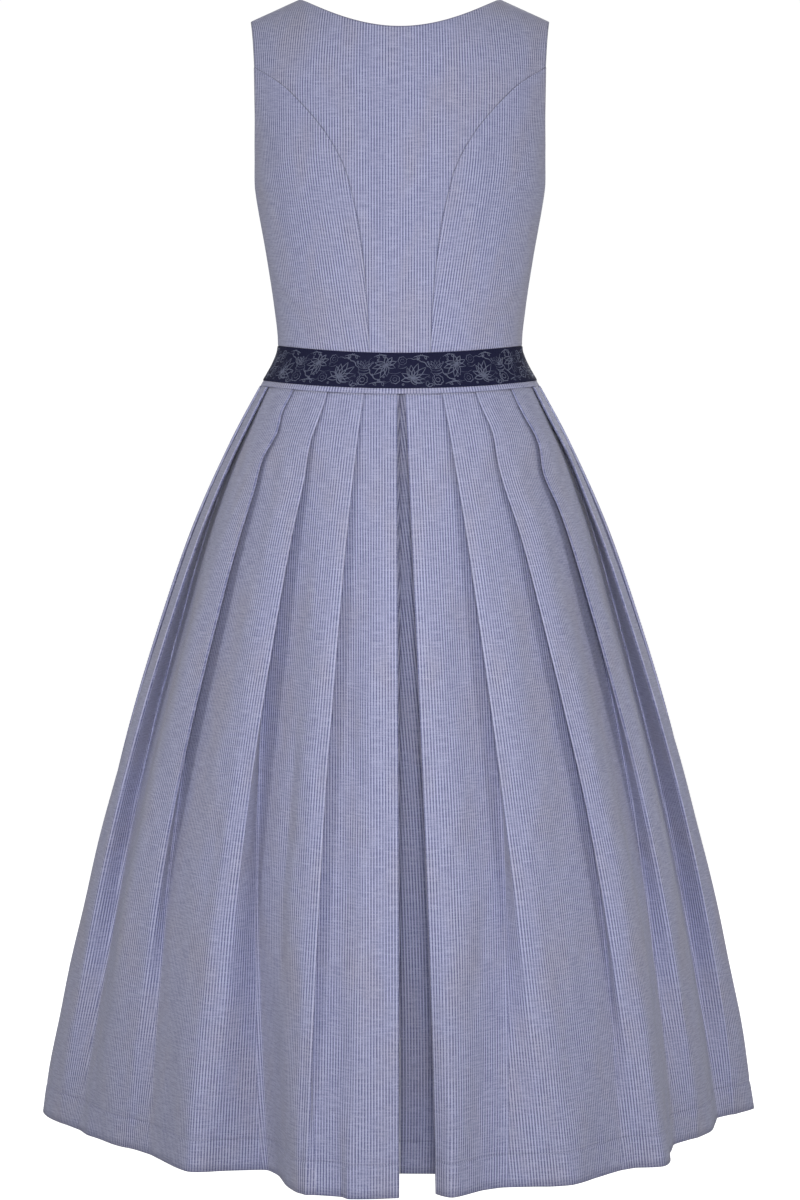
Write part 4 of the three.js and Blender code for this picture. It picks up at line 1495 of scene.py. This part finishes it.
@dataclass
class Waist:
    """The waistband, the ribbon over it with its woven flowers, and their sewing."""

    form: WornForm
    finishes: Finishes
    sewing: Sewing
    band_height: float = 44
    ribbon_height: float = 38
    ribbon_proud: float = 0.6
    ribbon_cloth: float = 0.9
    band_level: float = -0.7
    band_cloth: float = 1.3
    columns: int = 240
    repeats: int = 10
    drawn_repeat: float = 74
    top_stitch_drop: float = 43.1
    flower_lift: float = 0.16
    line_scale: float = 1.45
    stitch: Stitch = Stitch(2.7, 1.9, 0.55)
    fine_stitch: Stitch = Stitch(2.6, 1.7, 0.4)

    def ring(self, drops: Array, level: float, thickness: float) -> Cloth:
        """A band round the waist, closed edge to edge at the centre front.

        Args:
            drops: Each row's distance below the waist line.
            level: Its outer face, outside the form.
            thickness: Its cloth.

        Returns:
            The band's wall.
        """
        end = self.form.seam_gap / 2 / 100
        turns = np.linspace(-math.pi + end, math.pi - end, self.columns + 1)
        azimuth, drop = np.meshgrid(turns, drops)
        z = self.form.waist_line(azimuth) - self.form.seam_gap - drop
        beside = np.minimum(drop - drops[0], drops[-1] - drop)
        relief = -0.35 * np.exp(-((beside / 0.9) ** 2))
        relief = relief + 0.12 * eased(beside / 6) * np.sin(azimuth * 23 + drop * 0.11)
        outer = self.form.hip(azimuth, z, level + relief)
        inner = self.form.hip(azimuth, z, level - thickness)
        steps = lengths(np.diff(outer[len(drops) // 2], axis=0))
        across = np.tile(np.concatenate([[0], np.cumsum(steps)]), (len(drops), 1))
        fall = lengths(np.diff(outer, axis=0))
        # Painted shade along both edges of the ring
        shade = 0.35 * np.exp(-((beside / 0.8) ** 2))
        down = np.pad(np.cumsum(fall, axis=0), ((1, 0), (0, 0)))
        return Cloth.between(outer, inner, across, down, shade)

    @staticmethod
    def drops(low: float, high: float, count: int) -> Array:
        """Distances below the waist line, close together at both edges."""
        near = np.array([0, 0.4, 1.0, 2.0])
        inner = np.linspace(low + 3.5, high - 3.5, count)
        return np.concatenate([low + near, inner, high - near[::-1]])

    @staticmethod
    def motif() -> Motif:
        """Draws one repeat of the flowers: blooms, daisies and sprigs, on a ribbon from 0 up.

        Returns:
            The motif.
        """
        drawn = Motif()
        drawn.fan_bloom((12, 10), 40, 19)
        for angle, length in ((112, 13), (150, 12), (190, 11), (-28, 11), (-62, 7.5)):
            drawn.petal((12, 10), angle, length, 4.6)
        drawn.daisy((37, 8.5), 5.6, 8)
        drawn.arc((30.5, 17), (37, 12.6), (43.5, 17))
        drawn.arc((31, 20), (37, 15.8), (43, 20))
        for angle in (35, 62, 90, 118, 145):
            drawn.petal((37, 20.5), angle, 9.5, 3.4)
        drawn.fan_bloom((60, 25), 222, 16)
        for angle, length in ((20, 11), (55, 10), (-18, 10), (95, 9)):
            drawn.petal((60, 25), angle, length, 4.2)
        drawn.sprig((14, 33), (22, 37), (31, 33), 3)
        drawn.sprig((44, 4), (52, 8), (61, 5), 3)
        drawn.sprig((46, 33), (52, 37), (60, 35), 3)
        drawn.daisy((69, 9.5), 4.8, 7)
        drawn.arc((63, 16.5), (69, 14.2), (75, 17.5))
        drawn.daisy((2.5, 29.5), 4.6, 7)
        drawn.arc((-2, 22), (3, 20), (7, 23.5))
        drawn.petal((26, 2), 20, 6.5, 3)
        drawn.petal((26, 2), 80, 6, 3)
        high = (19, 31), (29.5, 27.5), (46.5, 14), (45.5, 27)
        low = (58, 12), (51, 30), (73, 24), (29, 12), (3, 4)
        for dot in high + low:
            drawn.ring(dot, 0.9, 0.7, 7)
        return drawn

    def on_ribbon(self, along: Array, up: Array, girth: Array, turns: Array, lift: float) -> Array:
        """Points on the ribbon's face.

        Args:
            along: Distances round the ribbon from the centre front.
            up: Distances above its lower edge.
            girth: The distance round it at each of the turns.
            turns: Azimuths.
            lift: How far the points lie outside the face.

        Returns:
            The points, in millimetres.
        """
        azimuth = np.interp(along, girth, turns)
        z = self.form.waist_line(azimuth) - self.form.seam_gap - (self.ribbon_height - up)
        return self.form.hip(azimuth, z, self.ribbon_proud + lift)

    def flowers(self) -> Piece:
        """The ribbon's flowers, as low woven lines all round it."""
        turns = np.linspace(-math.pi, math.pi, 721)
        z = self.form.waist_line(turns) - self.form.seam_gap - self.ribbon_height / 2
        ring = self.form.hip(turns, z, self.ribbon_proud)
        girth = np.concatenate([[0], np.cumsum(lengths(np.diff(ring, axis=0)))])
        repeat = girth[-1] / self.repeats
        motif = self.motif()
        stretch = repeat / self.drawn_repeat
        points, faces = [], []
        for copy in range(self.repeats):
            for line, width in motif.strokes:
                path = line * [stretch, 1.0] + [copy * repeat, 0.0]
                inside = (path[:, 1] > 1.0) & (path[:, 1] < self.ribbon_height - 1.0)
                inside &= (path[:, 0] > 0.8) & (path[:, 0] < girth[-1] - 0.8)
                path = path[inside]
                if len(path) < 3:
                    continue
                run = unit(np.gradient(path, axis=0))
                beside = np.stack([-run[:, 1], run[:, 0]], axis=-1) * width * self.line_scale / 2
                taper = np.sin(np.pi * np.linspace(0.12, 0.88, len(path)))[:, None] ** 0.5
                first = len(points)
                for sign, lift in ((-1, -0.05), (0, self.flower_lift), (1, -0.05)):
                    line_at = path + sign * beside * taper
                    points.extend(self.on_ribbon(line_at[:, 0], line_at[:, 1], girth, turns, lift))
                count = len(path)
                for i in range(count - 1):
                    for one, two in ((0, 1), (1, 2), (2, 0)):
                        a, b = first + one * count + i, first + two * count + i
                        faces.append((a, a + 1, b + 1, b))
                faces.append((first, first + count, first + 2 * count))
                end = first + count - 1
                faces.append((end, end + 2 * count, end + count))
        return solid("ribbon_flowers", np.array(points), faces, self.finishes.flowers)

    def build(self) -> None:
        """Builds the band, the ribbon, the flowers and the sewing."""
        band = self.ring(self.drops(0, self.band_height, 12), self.band_level, self.band_cloth)
        lay(band, "waistband", self.finishes.bodice, Slot.BODICE)
        ribbon = self.ring(self.drops(0, self.ribbon_height, 12), self.ribbon_proud, self.ribbon_cloth)
        lay(ribbon, "ribbon", self.finishes.ribbon, Slot.RIBBON)
        place(self.flowers(), Slot.RIBBON)

        every = slice(0, self.columns + 1)
        drops = np.array([self.top_stitch_drop - 1, self.top_stitch_drop, self.band_height])
        path = wall_path(self.ring(drops, self.band_level, self.band_cloth), (1, every), 0.08)
        self.sewing.sew("waist_topstitch", [path], self.stitch, self.finishes.cotton_thread, Slot.BODICE)
        drops = np.array([1.4, 1.5, self.ribbon_height - 1.5])
        edges = self.ring(drops, self.ribbon_proud, self.ribbon_cloth)
        paths = [wall_path(edges, (row, every), 0.05) for row in (1, 2)]
        self.sewing.sew("ribbon_stitches", paths, self.fine_stitch, self.finishes.navy_thread, Slot.RIBBON)


@dataclass(frozen=True)
class Fold:
    """A knife pleat's fold edge, and how the pleat lies at the hem.

    The first three are the edge's azimuth in degrees at the waist, middle and hem. Turns are degrees on
    from the edge, levels are millimetres, and soft_from is the share of the drop where the edge opens.
    """

    waist: float
    middle: float
    hem: float
    level: float
    crown_turn: float
    crown: float
    valley_turn: float
    valley: float
    soft_from: float = 2.0


LEFT_FOLDS = (
    Fold(1, 0.3, 0.2, 2, 7, 10, 2.5, -99),
    Fold(14, 13.8, 13.5, 2, 1.9, -6, -1.5, -1, 0.5),
    Fold(29.7, 30.4, 33.3, -50, 3.4, -32, -7.6, -83, 0.7),
    Fold(47.7, 49.6, 56.5, -55, 10, -43, -6.1, -58, 0.58),
    Fold(69.4, 71.3, 79.5, -19, 10, 2, -6, -36, 0.4),
)
RIGHT_FOLDS = (
    Fold(2, 4.3, 5.4, -12, 2, 5, 3, -92),
    Fold(16.5, 19.5, 22.5, -14, 4.3, -9, -6.3, -26, 0.66),
    Fold(31.2, 37.4, 42, -29, 3.8, -14, -3.4, -33, 0.5),
    Fold(50.7, 54.9, 66, -50, 5.7, -45, -6.4, -61, 0.5),
    Fold(70.5, 72.6, 86, -27, 5, 0, -3, -46),
)
FRONT_FOLDS = (
    Fold(92, 95, 101, -12, 6, 0, -5, -38, 0.72),
    Fold(114, 115, 117.5, -10, 6, 2, -5, -34, 0.62),
    Fold(134, 134.5, 135, -14, 5, -2, -5, -36, 0.7),
    Fold(152, 151.5, 151, -6, 7, 4, -5, -30),
)

# Two creases of each pleat's panel, from its edge outwards and from the waist down, from the centre back on
BACK_PLEAT_CREASES = {
    Side.LEFT: (
        creases((0.45, 0.05, 0.6, 0.3, -0.8, 7), (0.5, 0.42, 0.42, 0.95, -3.0, 24)),
        creases((0.4, 0.12, 0.3, 0.34, -0.9, 8), (0.55, 0.34, 0.62, 0.78, -3.4, 11)),
        creases((0.5, 0.08, 0.4, 0.26, 0.8, 8), (0.35, 0.4, 0.45, 0.8, -2.0, 16)),
        creases((0.3, 0.06, 0.5, 0.2, -1.0, 8), (0.5, 0.5, 0.4, 0.95, 2.2, 18)),
        creases((0.25, 0.05, 0.45, 0.17, 1.0, 8), (0.4, 0.3, 0.55, 0.8, -2.6, 18)),
    ),
    Side.RIGHT: (
        creases((0.4, 0.06, 0.55, 0.24, -0.7, 7), (0.55, 0.4, 0.5, 0.9, 2.4, 22)),
        creases((0.5, 0.1, 0.35, 0.3, -0.9, 8), (0.4, 0.55, 0.5, 0.98, -2.6, 20)),
        creases((0.35, 0.06, 0.5, 0.22, 0.8, 8), (0.6, 0.45, 0.5, 0.9, 2.0, 18)),
        creases((0.3, 0.12, 0.5, 0.3, -0.9, 8), (0.45, 0.5, 0.35, 0.92, -2.2, 18)),
        creases((0.2, 0.04, 0.5, 0.14, -1.1, 7), (0.5, 0.35, 0.4, 0.85, 2.2, 16)),
    ),
}
FRONT_PLEAT_CREASES = (
    creases((0.4, 0.08, 0.55, 0.26, -0.8, 8), (0.5, 0.45, 0.4, 0.93, -2.4, 20)),
    creases((0.5, 0.1, 0.35, 0.3, 0.8, 8), (0.45, 0.4, 0.55, 0.88, 2.2, 20)),
    creases((0.35, 0.06, 0.5, 0.24, -0.9, 8), (0.55, 0.5, 0.45, 0.96, -2.6, 18)),
    creases((0.3, 0.1, 0.42, 0.3, 0.8, 9), (0.4, 0.45, 0.3, 0.95, 3.0, 26)),
)


@dataclass(frozen=True)
class Puff:
    """A soft sway of the pleats where they spread below the waist.

    The azimuth, turn and width are degrees, share and tall are shares of the drop, and lift is millimetres.
    """

    azimuth: float
    share: float
    turn: float
    lift: float
    wide: float
    tall: float


PUFFS = {
    Side.LEFT: (
        Puff(31, 0.066, 1.1, 0.8, 9, 0.034),
        Puff(50, 0.03, 1.3, 0.6, 9, 0.022),
        Puff(50, 0.056, -1.3, -0.8, 9, 0.022),
        Puff(51, 0.092, 1.4, 1.2, 10, 0.03),
        Puff(72, 0.05, -1.5, 0.8, 9, 0.03),
        Puff(116, 0.06, -1.2, 0.9, 11, 0.035),
        Puff(151, 0.05, 1.1, 0.7, 10, 0.03),
    ),
    Side.RIGHT: (
        Puff(34, 0.052, 1.2, 0.9, 9, 0.026),
        Puff(36, 0.12, -0.7, -0.6, 10, 0.045),
        Puff(54, 0.068, 2.0, 1.5, 10, 0.028),
        Puff(55, 0.115, -1.4, -0.9, 10, 0.028),
        Puff(73, 0.05, -1.6, 0.9, 9, 0.03),
        Puff(74, 0.1, 1.2, 1.0, 10, 0.035),
        Puff(118, 0.07, 1.3, 0.9, 11, 0.035),
        Puff(149, 0.045, -1.1, 0.7, 10, 0.03),
    ),
}


@dataclass(frozen=True)
class Bend:
    """A bend of the skirt's section, round one point or a fold's two, with its reach on both sides."""

    points: tuple[Array, ...]
    reach: Array
    steps: int


@dataclass
class Skirt:
    """The pleated skirt: four quarters of knife pleats that all face the centre back."""

    form: WornForm
    finishes: Finishes
    sewing: Sewing
    thickness: float = 0.9
    band_height: float = 44
    layer_pitch: float = 1.9
    waist_lap: float = 0.72
    waist_crown: float = 0.3
    middle_depth: float = 15
    tuck_margin: Pair = (0.8, 3.6)
    tuck_share: Pair = (0.57, 0.2)
    tuck_settles: float = 0.3
    front_panel_level: float = 4
    level_swell: float = 2.6
    seam_radius: Pair = (116, 287)
    sharp_reach: float = 1.3
    soft_reach: float = 30
    valley_reach: Pair = (1.2, 24)
    closed_turn: float = 1.5
    puff_starts: float = 0.03
    join_reach: float = 0.6
    join_share: float = 0.75
    rows: int = 96
    fall: float = 852
    cloth_length: float = 940
    stripe_pitch: float = PinstripeCotton.pitch
    hem_depth: float = 35
    hem_step: float = 0.3
    hem_groove: float = 0.45
    # Painted shade at the hem's bottom edge
    hem_shade: float = 0.7
    stitch: Stitch = Stitch(3.0, 2.0, 0.5)

    def hem_line(self) -> float:
        """The hem's stitch line, as a share of the way from waist to hem."""
        return 1 - self.hem_depth / self.fall

    def drops(self) -> Array:
        """Each row's share of the way from waist to hem, closer at the top and at the hem's stitch line."""
        line = self.hem_line()
        even = np.linspace(0, 1, self.rows) ** 1.06
        spaced = even[np.abs(even - line) > 0.006]
        near = line + np.array([-0.0045, -0.0016, 0.0, 0.0016, 0.0045])
        return np.sort(np.concatenate([spaced, near, [0.004, 1 - 0.0012]]))

    def skirt_top(self, azimuth: Array) -> Array:
        """The height of the skirt's top edge."""
        return self.form.waist_line(azimuth) - self.band_height - 2 * self.form.seam_gap

    def edge_turn(self, fold: Fold, t: Array) -> Array:
        """A fold edge's azimuth on its way from waist to hem, in degrees."""
        at_waist = 2 * (t - 0.5) * (t - 1) * fold.waist
        at_middle = 4 * t * (1 - t) * fold.middle
        at_hem = 2 * t * (t - 0.5) * fold.hem
        return at_waist + at_middle + at_hem

    def laid(self, fold: Fold, following: float, t: Array) -> dict[str, Array]:
        """A fold on its way from waist to hem.

        Args:
            fold: The fold.
            following: The next fold's azimuth at the waist.
            t: Shares of the way down.

        Returns:
            Azimuths in degrees and levels of its edge, crown and inner fold.
        """
        spacing = following - fold.waist
        stack = 2 * self.layer_pitch * (1 + self.waist_lap)
        edge = self.edge_turn(fold, t)
        swell = t**self.level_swell
        level = fold.level * swell
        depth = mix(stack, fold.level - fold.valley, t) + 4 * t * (1 - t) * self.middle_depth
        return {
            "edge": edge,
            "level": level,
            "crown": edge + mix(self.waist_crown * spacing, fold.crown_turn, t),
            "crown_level": mix(-2 * self.layer_pitch * self.waist_crown, fold.crown, swell),
            "inner": edge + mix(self.waist_lap * spacing, fold.valley_turn, t),
            "inner_level": level - depth,
        }

    def centre_back_level(self, t: Array) -> Array:
        """The level at which the underlays of the two first folds meet in the centre-back seam."""
        first_folds = ((folds[0], folds[1].waist) for folds in (LEFT_FOLDS, RIGHT_FOLDS))
        return sum(self.laid(fold, following, t)["inner_level"] for fold, following in first_folds) / 2

    def at(self, degrees: Array, level: Array, t: Array, side: Side) -> Array:
        """Points of the skirt's section.

        Args:
            degrees: Azimuths from the centre back.
            level: Millimetres outside the worn form.
            t: Shares of the way down.
            side: The side, whose puffs sway them.

        Returns:
            Points on the right side.
        """
        turn, lift = np.zeros_like(t), np.zeros_like(t)
        for puff in PUFFS[side]:
            across, down = (degrees - puff.azimuth) / puff.wide, (t - puff.share) / puff.tall
            near = np.exp(-(across**2) - down**2)
            turn, lift = turn + puff.turn * near, lift + puff.lift * near
        held = eased(t / self.puff_starts)
        azimuth = np.radians(degrees + turn * held)
        top = self.skirt_top(azimuth)
        return self.form.hip(azimuth, mix(top, self.form.hem_z, t), level + lift * held)

    def bends(
        self, side: Side, folds: Sequence[Fold], first: int, last: int, t: Array
    ) -> tuple[list[Bend], Spans]:
        """The bends of a quarter's section, in order from its first seam to its last.

        Args:
            side: The side of the dress.
            folds: Every fold of the side.
            first: The quarter's first fold.
            last: Its last fold.
            t: Shares of the way down.

        Returns:
            The bends, and for each fold the number of its edge's bend and of the last bend of its panel.
        """
        laid = [
            self.laid(fold, folds[i + 1].waist if i + 1 < len(folds) else 180.0, t)
            for i, fold in enumerate(folds)
        ]
        none = np.zeros_like(t)
        wide = np.full_like(t, 1000.0)
        valley = mix(*self.valley_reach, t)
        seam = np.degrees(self.form.seam_gap / 2 / mix(*self.seam_radius, t))
        bends: list[Bend] = []
        marks: Spans = []

        def bend(reach: Array, steps: int, *points: Array) -> None:
            """Adds a bend to the section."""
            bends.append(Bend(points, reach, steps))

        def placed(degrees: Array | float, level: Array | float) -> Array:
            """A point on every row."""
            return self.at(degrees + none, level + none, t, side)

        def inner_pair(item: dict[str, Array]) -> tuple[Array, Array]:
            """The two points of an inner fold."""
            low = placed(item["inner"], item["inner_level"])
            closed = np.clip((item["inner"] - item["edge"]) / self.closed_turn, 0.1, 1)
            return low, placed(item["inner"], item["inner_level"] + self.layer_pitch * closed)

        if first == 0:
            bend(none, 1, placed(seam, self.centre_back_level(t)))
            bend(valley, 7, *inner_pair(laid[0]))
        else:
            bend(none, 1, inner_pair(laid[first])[1])
        for i in range(first, last + 1):
            fold, item = folds[i], laid[i]
            soft = eased((t - fold.soft_from + 0.1) / 0.32)
            reach = mix(self.sharp_reach, self.soft_reach, soft)
            below = placed(item["edge"], item["level"] - self.layer_pitch)
            bend(reach, 11, below, placed(item["edge"], item["level"]))
            edge_mark = len(bends) - 1
            if i + 1 == len(folds):
                bend(wide, 6, placed(item["crown"], item["crown_level"]))
                for s in (1 / 3, 2 / 3):
                    level = mix(item["crown_level"], self.front_panel_level * t * t, s)
                    bend(wide, 8, placed(mix(item["crown"], 180.0, s), level))
                bend(none, 1, placed(180 - seam / 2, self.front_panel_level * t * t))
                marks.append((edge_mark, len(bends) - 1))
                continue
            after = laid[i + 1]
            settled = np.clip(t / self.tuck_settles, 0, 1)
            tuck = np.minimum(after["edge"], after["inner"]) - mix(*self.tuck_margin, t)
            share = mix(*self.tuck_share, settled)
            tuck_level = mix(after["inner_level"], item["crown_level"], share)
            near_level = mix(item["level"], item["crown_level"], 0.6)
            bend(wide, 5, placed(mix(item["edge"], item["crown"], 0.5), near_level))
            for s in (0.0, 1 / 3, 2 / 3, 1.0):
                drop = mix(s, s * s * (3 - 2 * s), settled * 0.6)
                level = mix(item["crown_level"], tuck_level, drop)
                bend(wide, 5, placed(mix(item["crown"], tuck, s), level))
            marks.append((edge_mark, len(bends) - 1))
            if i < last:
                bend(valley, 7, *inner_pair(after))
            else:
                low, high = inner_pair(after)
                bend(np.full_like(t, self.join_reach), 3, low)
                bend(none, 1, mix(low, high, self.join_share))
        return bends, marks

    @staticmethod
    def section(bends: Sequence[Bend]) -> tuple[Array, list[int]]:
        """A smooth section through the bends, on every row at once.

        Args:
            bends: The bends in order. The first and last are ends of the section.

        Returns:
            Rows and columns of points, and the column at the middle of each bend.
        """
        columns: list[Array] = []
        middles: list[int] = []
        for i, bend in enumerate(bends):
            first, last = bend.points[0], bend.points[-1]
            if i in (0, len(bends) - 1):
                columns.append(first)
                middles.append(len(columns) - 1)
                continue
            before, after = bends[i - 1].points[-1], bends[i + 1].points[0]
            back, on = before - first, after - last
            back_long = np.linalg.norm(back, axis=-1, keepdims=True)
            on_long = np.linalg.norm(on, axis=-1, keepdims=True)
            reach = bend.reach[:, None]
            start = first + unit(back) * np.minimum(reach, back_long * 0.45)
            end = last + unit(on) * np.minimum(reach, on_long * 0.45)
            if len(columns) > 1 or i == 1:
                gap = start - columns[-1]
                for s in (0.33, 0.67):
                    columns.append(columns[-1 if s < 0.5 else -2] + gap * s)
            begin = len(columns)
            for s in np.linspace(0, 1, bend.steps):
                rest = 1 - s
                if len(bend.points) == 2:
                    point = start * rest**3 + 3 * first * s * rest**2 + 3 * last * s**2 * rest + end * s**3
                else:
                    point = start * rest**2 + 2 * first * s * rest + end * s**2
                columns.append(point)
            middles.append((begin + len(columns) - 1) // 2)
        return np.stack(columns, axis=1), middles

    def quarter(
        self, side: Side, folds: Sequence[Fold], first: int, last: int
    ) -> tuple[Cloth, Spans]:
        """A quarter of the skirt, from one seam to the next.

        Args:
            side: The side of the dress.
            folds: Every fold of the side.
            first: The quarter's first fold.
            last: Its last fold.

        Returns:
            The quarter's wall, and the columns where each panel starts and ends.
        """
        t = self.drops()
        bends, marks = self.bends(side, folds, first, last, t)
        middle, centres = self.section(bends)
        middle[..., 0] *= side.value
        panels = [(centres[start], centres[end]) for start, end in marks]

        along = np.gradient(middle, axis=1)
        steps = lengths(np.diff(middle, axis=1))
        travelled = np.concatenate([np.zeros((len(t), 1)), np.cumsum(steps, axis=1)], axis=1)
        downwards = np.gradient(middle, axis=0)
        normal = unit(np.cross(along, downwards))
        look = panels[0][0] + (panels[0][1] - panels[0][0]) // 3
        radial = middle[:, look] * [1.0, 1.0, 0.0]
        if (normal[:, look] * radial).sum() < 0:
            normal = -normal

        relief = np.zeros(middle.shape[:2])
        drop = t[:, None]
        for number, (start, end) in enumerate(panels):
            fold = first + number
            wide = (travelled[:, end] - travelled[:, start])[:, None]
            share = (travelled[:, start : end + 1] - travelled[:, start : start + 1]) / wide
            rest = eased(share * wide / 14) * eased((1 - share) * wide / 14)
            laid = (*BACK_PLEAT_CREASES[side], *FRONT_PLEAT_CREASES)[fold]
            length = self.cloth_length
            lifted = crease_relief(laid, share, drop + 0 * share, wide + 0 * share, length)
            phase = fold * 1.7 + side.value * 0.6
            sway = np.sin(share * 5.2 + drop * 9 + phase) * np.sin(drop * 23 + phase * 2 + share * 3)
            lifted = lifted + mix(0.15, 1.1, drop) * sway
            relief[:, start : end + 1] += lifted * rest * eased(drop / 0.05)
        below = (t - self.hem_line()) * self.cloth_length
        hem = self.hem_step * eased(below / 3) - self.hem_groove * np.exp(-((below / 1.8) ** 2))
        ripple = 0.22 * np.sin(travelled * 2 * math.pi / 21 + 1.3) * np.exp(-((below / 16) ** 2))[:, None]
        relief = relief + hem[:, None] + ripple
        middle = middle + normal * relief[..., None]

        cells = middle.shape[1] - 1
        anchors = np.zeros(cells, int)
        between = [(one[1] + two[0]) // 2 for one, two in zip(panels, panels[1:])]
        turns = [0, *between, cells]
        for number, (low, high) in enumerate(zip(turns, turns[1:])):
            anchors[low:high] = panels[number][0] if first + number + 1 < len(folds) else cells
        shift = (np.searchsorted(turns, np.arange(cells), side="right") * 0.37 + 0.25) * self.stripe_pitch
        base = travelled[:, anchors]
        across = np.stack([travelled[:, :-1] - base + shift, travelled[:, 1:] - base + shift], axis=-1)
        fall = lengths(np.diff(middle, axis=0)).mean(axis=1)
        down = np.tile(np.concatenate([[0], np.cumsum(fall)])[:, None], (1, cells + 1))
        half_cloth = normal * self.thickness / 2
        # Painted shade along the hem's bottom edge and, more lightly, along its stitch line
        to_hem = (1 - t) * self.cloth_length
        at_hem = self.hem_shade * np.exp(-((to_hem / 1.5) ** 2))
        shade = np.maximum(at_hem, 0.25 * np.exp(-((below / 1.0) ** 2)))
        shade = np.tile(shade[:, None], (1, cells + 1))
        wall = Cloth(middle + half_cloth, middle - half_cloth, across, down, shade, pleated=True)
        return wall, panels

    def build(self) -> None:
        """Builds the four quarters and their sewing."""
        last_back = len(LEFT_FOLDS) - 1
        thread = self.finishes.cotton_thread
        hem_row = int(np.argmin(np.abs(self.drops() - self.hem_line())))
        seams = []
        for side, back_folds in ((Side.LEFT, LEFT_FOLDS), (Side.RIGHT, RIGHT_FOLDS)):
            folds = (*back_folds, *FRONT_FOLDS)
            for word, first, last in (("back", 0, last_back), ("front", last_back + 1, len(folds) - 1)):
                name = f"skirt_{word}_{side.name.lower()}"
                cloth, panels = self.quarter(side, folds, first, last)
                lay(cloth, name, self.finishes.skirt, Slot.SKIRT)
                hem = [wall_path(cloth, (hem_row, slice(start, end + 1)), 0.1) for start, end in panels]
                self.sewing.sew(f"{name}_hem_stitches", hem, self.stitch, thread, Slot.SKIRT)
                if word == "back":
                    seams.append(wall_path(cloth, (slice(2, -2), 1), 0.05))
        self.sewing.sew("centre_back_stitches", seams[:1], self.stitch, thread, Slot.SKIRT)


@dataclass(frozen=True)
class SoftLight:
    """A studio light: where it stands and aims in metres, its size, power and spread in degrees."""

    name: str
    at: Three
    size: float
    power: float
    aim: Three = (0.0, 0.0, -0.58)
    spread: float = 180


LIGHTS = (
    SoftLight("Key light", (0.1, -4.0, 0.0), 0.9, 6.2, aim=(0.0, 0.0, -0.62), spread=52),
    SoftLight("Left fill light", (-2.9, -2.6, 0.1), 1.0, 2.1, aim=(0.0, 0.0, -0.5), spread=48),
    SoftLight("Right fill light", (2.9, -2.6, 0.1), 1.0, 2.0, aim=(0.0, 0.0, -0.5), spread=48),
    SoftLight("Front light", (0.5, 2.8, 0.7), 1.2, 52),
)


@dataclass
class Studio:
    """The plain pale floor, the soft lights and the camera. Sizes here are metres."""

    floor_z: float = -1.50
    floor_reach: float = 16.0
    floor_glow: float = 0.8
    camera_at: Three = (0.0, -3.5, -0.408)
    camera_pitch: float = 4.017
    lens: float = 93.98
    ambient: float = 0.34
    surround: float = 1.02

    def floor(self) -> None:
        """Builds the floor, which looks as bright as the air round it."""
        material, nodes, shader = new_material("Pale studio floor")
        at = nodes.add("ShaderNodeTexCoord").outputs["Object"]
        mottle = nodes.noise(at, 1.3, 3.0)
        colour = nodes.blend(mottle, (0.6, 0.6, 0.605, 1), (0.64, 0.64, 0.64, 1))
        nodes.give(colour, shader, "Base Color")
        nodes.give(nodes.spread(mottle, 0.3, 0.7, 0.85, 0.95), shader, "Roughness")
        seen = nodes.add("ShaderNodeLightPath").outputs["Is Camera Ray"]
        glow = nodes.blend(seen, (0, 0, 0, 1), (*(self.floor_glow,) * 3, 1))
        nodes.give(glow, shader, "Emission Color")
        nodes.give(1.0, shader, "Emission Strength")
        from_below = nodes.add("ShaderNodeNewGeometry").outputs["Backfacing"]
        nodes.give(nodes.minus(1.0, from_below), shader, "Alpha")
        reach, low = self.floor_reach / MM, self.floor_z / MM
        sides = ((-reach, -reach), (reach, -reach), (reach, reach), (-reach, reach))
        points = np.array([(x, y, low) for x, y in sides])
        solid("studio_floor", points, [(0, 1, 2, 3)], material)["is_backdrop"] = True

    def lights(self) -> None:
        """Hangs the soft lights and sets the light all round."""
        for light in LIGHTS:
            lamp = bpy.data.lights.new(light.name, "AREA")
            lamp.shape = "DISK"
            lamp.size = light.size
            lamp.energy = light.power
            lamp.spread = math.radians(light.spread)
            hung = linked(light.name, lamp)
            aim = np.array(light.aim) - np.array(light.at)
            hung.location = light.at
            flat = math.hypot(aim[0], aim[1])
            hung.rotation_euler = (math.atan2(flat, -aim[2]), 0.0, math.atan2(-aim[0], aim[1]))
        world = bpy.data.worlds.new("Soft surround")
        bpy.context.scene.world = world
        world.use_nodes = True
        nodes = Nodes(world.node_tree)
        seen = nodes.add("ShaderNodeLightPath").outputs["Is Camera Ray"]
        inputs = {"Value": seen, "To Min": self.ambient, "To Max": self.surround}
        strength = nodes.add("ShaderNodeMapRange", inputs).outputs[0]
        background = world.node_tree.nodes["Background"]
        background.inputs[0].default_value = (1.0, 1.0, 1.0, 1)
        world.node_tree.links.new(strength, background.inputs[1])

    def camera(self) -> None:
        """Sets the camera at the photograph's angle: behind the dress, a little above its middle."""
        held = bpy.data.cameras.new("Camera")
        held.lens = self.lens
        held.sensor_width = 36
        stood = linked("Camera", held)
        stood.location = self.camera_at
        stood.rotation_euler = (math.radians(90 - self.camera_pitch), 0.0, 0.0)
        bpy.context.scene.camera = stood

    def build(self) -> None:
        """Builds the floor, lights and camera."""
        self.floor()
        self.lights()
        self.camera()
        bpy.context.scene.view_settings.view_transform = "Standard"


def corners() -> list[list[float]]:
    """The shown object's lowest and highest corner, as plain lists."""
    return [[round(float(x), 5) for x in corner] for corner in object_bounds()]


def main() -> None:
    """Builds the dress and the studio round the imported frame."""
    logging.basicConfig(level=logging.INFO, format="%(message)s")
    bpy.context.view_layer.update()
    form = WornForm()
    finishes = Finishes.build()
    sewing = Sewing()
    Bodice(form, finishes, sewing).build()
    Closure(form, finishes, sewing).build()
    Waist(form, finishes, sewing).build()
    Skirt(form, finishes, sewing).build()
    Studio().build()


if __name__ == "__main__":
    main()
